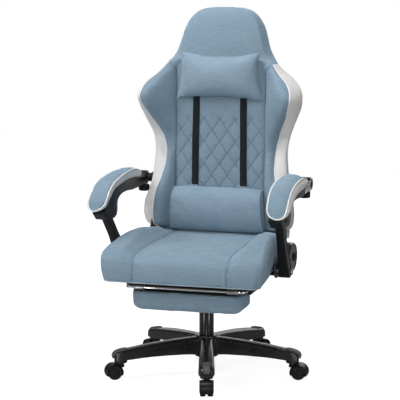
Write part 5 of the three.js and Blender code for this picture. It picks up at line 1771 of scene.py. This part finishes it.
            # rays run square to the pad's run
            for p, i in zip(path[::1], [i for i in range(k) if wid[i] > 12]):
                dn = (up[i] - lo[i]) / np.linalg.norm(up[i] - lo[i])
                h = on_surface(tree, (p[0], lo[i][0] + dn[0] * 90, lo[i][1] + dn[1] * 90), (0, -dn[0], -dn[1]))
                if h is not None:
                    j = min(i + 1, k - 1)
                    j0 = max(i - 1, 0)
                    t = np.array([(xm[j] + sg * (wid[j] * (IN_BY if sg > 0 else 1) - 6.5) - xm[j0] - sg * (wid[j0] * (IN_BY if sg > 0 else 1) - 6.5)) * s, up[j][0] - up[j0][0], up[j][1] - up[j0][1]])
                    places.append((h[0], t, h[1]))
    tubes.append(make("thread", *stitch_mesh(places, 2.6), THREAD))
    o = join("arm_pad_upholstery_" + side, [body] + tubes)
    place(o, "arm_" + side, ["arm_pad_" + side])


for side, s in SIDES:
    make_arm_pad(side, s)


# ------------------------------------------------------------------ pillows
def pillow_skin(nu, nv):
    """Two sheets joined round their edge: (u, v, sheet) for each point, and the faces."""
    idx, pts, faces = {}, [], []

    def vid(i, j, side):
        edge = i in (0, nu) or j in (0, nv)
        key = (i, j, 0 if edge else side)
        if key not in idx:
            idx[key] = len(pts)
            uu, vv = 2 * i / nu - 1, 2 * j / nv - 1
            pts.append((math.sin(uu * math.pi / 2) * 0.45 + uu * 0.55, math.sin(vv * math.pi / 2) * 0.45 + vv * 0.55, 0 if edge else side))
        return idx[key]

    for side in (1, -1):
        for i in range(nu):
            for j in range(nv):
                f = (vid(i, j, side), vid(i + 1, j, side), vid(i + 1, j + 1, side), vid(i, j + 1, side))
                faces.append(f if side > 0 else f[::-1])
    return np.array(pts), faces


def make_headrest():
    p, faces = pillow_skin(120, 66)
    u, v, sheet = p.T
    w = 145.5 - 6.5 * v
    x = u * (w - 11.5 * (1 - v ** 2) * np.abs(u) ** 2)
    zt = 1082 - 15 * (1 - u ** 2) + 2.0 * u ** 8
    zb = 922 + 11 * (1 - u ** 2) - 2.0 * u ** 8
    z = zb + (zt - zb) * (v + 1) / 2
    z += 0.9 * np.sin(u * 9 + 1.1) * np.abs(v) ** 6 + 0.6 * np.sin(u * 21) * np.abs(v) ** 8
    x += 0.8 * np.sin(v * 8 + 0.4) * np.abs(u) ** 6
    bx = np.clip(1 - np.abs(u) ** 2.6, 0, 1)
    bv = np.clip(1 - np.abs(v) ** 2.4, 0, 1)
    body = (bx * bv) ** 0.62
    body = 0.9 * body + 0.1 * (bx * bv) ** 0.25
    edge = 153 + 5.5 * (np.abs(u) ** 3) + 0.03 * (z - 1000)
    y = edge - np.where(sheet > 0, 42 * body, 0) + np.where(sheet < 0, 10 * (bx * bv) ** 0.5, 0)
    verts = np.column_stack([x, y, z])
    edge_pts = sheet == 0
    m = puff(verts, faces, np.where(edge_pts, 1.0, np.where(sheet < 0, 0.92, 0.0)), 2.6, 5.0, 14, 0.6, 12, "headrest")
    nrm = outward(m, faces)
    ring = np.array([m[i] for i in np.nonzero(edge_pts)[0]])
    ang = np.arctan2(ring[:, 2] - 1000, ring[:, 0] * 0.54)
    order = np.argsort(ang)
    loop = ring[order]
    d_e = to_path(m, np.vstack([loop, loop[:1]])[::2])
    corner = np.exp(-((1 - np.abs(u)) ** 2 + (1 - np.abs(v)) ** 2) / 0.10)
    fold = pucker(m, d_e, 15, 0.55, 12, 71) * (1 + 1.6 * corner)
    out = np.where(sheet >= 0, 1.0, 0.25) * (fold + 0.6 * ripple(m, 75, 73) + 0.22 * ripple(m, 28, 75))
    m = m + nrm * (out * smooth(d_e, 0, 4))[:, None]
    # the rear follows the back's face, just clear of it
    for i in np.nonzero(sheet <= 0)[0]:
        h = on_surface(BACK_TREE, (m[i, 0], 0, m[i, 2]), (0, 1, 0))
        if h is not None:
            m[i, 1] = min(m[i, 1], h[0][1] - 3.0)
    # painted shade along the edge seam, passed as the skin's point attribute
    body = skin("headrest_pillow_cover", m, faces, [PILLOW], np.exp(-(d_e / 1.8) ** 2))
    nl = outward(m, faces)
    seam_ring = m[np.nonzero(edge_pts)[0]][order]
    cord = make("edge", *tube(resample(seam_ring, 260, True), 1.15, 8, closed=True, up=(0, 1, 0.01)), PILLOW)
    o = join("headrest_pillow_cover", [body, cord])
    place(o, "headrest_pillow", ["headrest_pillow"])


make_headrest()


def make_lumbar():
    NA, NX = 76, 92
    zb, zt, yb, yf = 463.5, 618.0, 152.6, 96.0
    ts = np.linspace(0, 1, NX + 1)
    ux = np.sin((ts * 2 - 1) * math.pi / 2) * 0.35 + (ts * 2 - 1) * 0.65
    rings, du = [], []
    for u in ux:
        a = abs(u)
        drop = 5 * max(0, (a - 0.62) / 0.38) ** 2.0
        back = 3 * max(0, (a - 0.72) / 0.28) ** 2.2
        z1, y0 = zt - drop, yf + back
        up = 4 * max(0, (a - 0.75) / 0.25) ** 2
        z0 = zb + up
        # D section: flat rear, deep rounded front
        hz, cz = (z1 - z0) / 2, (z1 + z0) / 2
        sec = []
        for th in np.linspace(-90, 90, 52):
            t = math.radians(th)
            cy, sz = abs(math.cos(t)) ** 0.82, math.copysign(abs(math.sin(t)) ** 0.80, math.sin(t))
            sec.append((yb - 6 - (yb - 6 - y0) * cy, cz + hz * sz))
        sec += [(yb - 2, z1 - 1.0), (yb, z1 - 5), (yb, cz + hz * 0.5), (yb, cz), (yb, cz - hz * 0.5), (yb, z0 + 5), (yb - 2, z0 + 1.0)]
        sec = resample(np.array(sec), NA, True)
        xs = u * 160
        rings.append([(xs * (1 + 0.034 * (541 - q[1]) / 78), q[0], q[1]) for q in sec])
    rings = np.array(rings)
    k, n, _ = rings.shape
    verts, faces = rings_mesh(rings, caps=False)
    verts = list(verts)
    d_end = []
    # end panels: rings shrinking to the middle, bulging out
    for e in (0, 1):
        base = (k - 1) * n if e else 0
        sg = 1 if e else -1
        src = rings[-1] if e else rings[0]
        cen = src.mean(0)
        prev = [base + i for i in range(n)]
        for f in (0.9, 0.78, 0.62, 0.44, 0.24):
            bulge = 5.0 * (1 - f ** 2.2)
            cur = []
            for q in src:
                p = cen + (q - cen) * f
                cur.append(len(verts))
                verts.append(np.array([p[0] + sg * bulge, p[1], p[2]]))
            for i in range(n):
                j = (i + 1) % n
                faces.append((prev[i], prev[j], cur[j], cur[i]) if e else (prev[j], prev[i], cur[i], cur[j]))
            prev = cur
        verts.append(np.array([cen[0] + sg * 5.0, cen[1], cen[2]]))
        for i in range(n):
            j = (i + 1) % n
            faces.append((prev[i], prev[j], len(verts) - 1) if e else (prev[j], prev[i], len(verts) - 1))
    verts = np.array(verts)
    rear = verts[:, 1] > yb - 1.5
    endring = np.zeros(len(verts), bool)
    endring[:n] = True
    endring[(k - 1) * n:k * n] = True
    m = puff(verts, faces, np.where(endring, 1.0, np.where(rear, 0.95, 0.0)), 1.6, 3.0, 12, 0.6, 12, "lumbar")
    nrm = outward(m, faces)
    d_e = np.minimum(to_path(m, np.vstack([m[:n], m[:1]])[::2]), to_path(m, np.vstack([m[(k - 1) * n:k * n], m[(k - 1) * n:(k - 1) * n + 1]])[::2]))
    out = dip(d_e, 1.2, 3.0) + pucker(m, d_e, 15, 0.55, 14, 81) + np.where(m[:, 1] < yb - 4, 1, 0.1) * (0.6 * ripple(m, 80, 83) + 0.25 * ripple(m, 30, 85))
    m = m + nrm * out[:, None]
    m[:, 1] = np.minimum(m[:, 1], 153.6)
    # painted shade along the end seams
    seam_shade = np.exp(-(d_e / 1.7) ** 2)
    made = [skin("lumbar_pillow_cover", m, faces, [PILLOW], seam_shade)]
    nl = outward(m, faces)
    for base in (0, (k - 1) * n):
        lp = m[base:base + n] + nl[base:base + n] * 1.1
        made.append(make("piping", *tube(resample(lp, 150, True), 2.3, 8, closed=True, up=(1, 0.02, 0)), PILLOW))
    # tabs that hold the straps at the top edge
    for sg in (1, -1):
        x0 = sg * 87
        prof = fillet([(-13, 0), (13, 0), (11.5, 11), (-11.5, 11)], 3, 4)
        tab = prism("tab", [(x0 + p[0], 612 + p[1]) for p in prof], 148.6, 151.6, PILLOW, "y", 0.9, 3)
        made.append(tab)
    o = join("lumbar_pillow_cover", made)
    place(o, "lumbar_pillow", ["lumbar_pillow"])


make_lumbar()


# ------------------------------------------------------------------ footrest pad
def make_footrest_pad():
    q, faces, cube = rounded_cube(112, 56, 28, 0.20, 0.44, 0.66, 0.13)
    a, b, c = q.T
    h = (c + 1) / 2
    wid = 188.5 - 3.0 * (1 - h) ** 2
    x = a * wid
    y = -180.0 + b * (81.5 - 3.0 * (1 - h) ** 2)
    z = 260.5 + 64.1 * h
    v = np.column_stack([x, y, z])
    nrm = outward(v, faces)
    belly = smooth(-nrm[:, 2], 0.2, 1.0)
    v = v + nrm * (belly * 1.5 + 1.5 * smooth(-nrm[:, 1], 0.6, 1) * np.sin(math.pi * h))[:, None]
    nrm = outward(v, faces)
    d_top = np.abs(v[:, 2] - 320.0) + np.where(nrm[:, 2] > 0.6, 40, 0)
    low = smooth(np.abs(v[:, 2] - 288), 9, 0)
    d_low = np.where(nrm[:, 2] < -0.35, 40, np.abs(v[:, 2] - 280.0))
    out = dip(d_top, 1.2, 2.2) + 0.55 * ripple(v, 80, 91) + 0.22 * ripple(v, 30, 92) + pucker(v, d_top, 17, 0.5, 10, 93)
    top = nrm[:, 2] > 0.7
    out = np.where(top, 0, out)
    m = v + nrm * out[:, None]
    m[:, 2] = np.minimum(m[:, 2], 324.85)
    # painted shade along the top seam
    seam_shade = 0.9 * np.exp(-(d_top / 1.6) ** 2)
    fm = [1 if (np.array([cube[i, 2] for i in f]) > 1 - 1e-6).all() else 0 for f in faces]
    made = [skin("footrest_pad_upholstery", m, faces, [BLUE, LINING], seam_shade, fm)]
    tree = bvh(m, faces)
    places = []
    ring = []
    for th in np.linspace(0, 2 * math.pi, 300, endpoint=False):
        d = np.array([math.cos(th), math.sin(th), 0])
        hit = on_surface(tree, np.array([0, -180, 315.2]) + d * 320, -d)
        if hit is not None:
            ring.append(hit)
    pts = np.array([r[0] for r in ring])
    per = resample(pts, int(1000 / 5.0), True)
    for i in range(len(per)):
        j = int(np.argmin(((pts - per[i]) ** 2).sum(1)))
        t = per[(i + 1) % len(per)] - per[i - 1]
        places.append((per[i], t, ring[j][1]))
    made.append(make("thread", *stitch_mesh(places, 2.8), THREAD))
    o = join("footrest_pad_upholstery", made)
    place(o, "footrest_panel", ["footrest_pad"])


make_footrest_pad()

# ------------------------------------------------------------------ sizes
_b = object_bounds()
{"cad": [[float(q) for q in CAD_BOX[0]], [float(q) for q in CAD_BOX[1]]], "visual": [[float(q) for q in _b[0]], [float(q) for q in _b[1]]]}
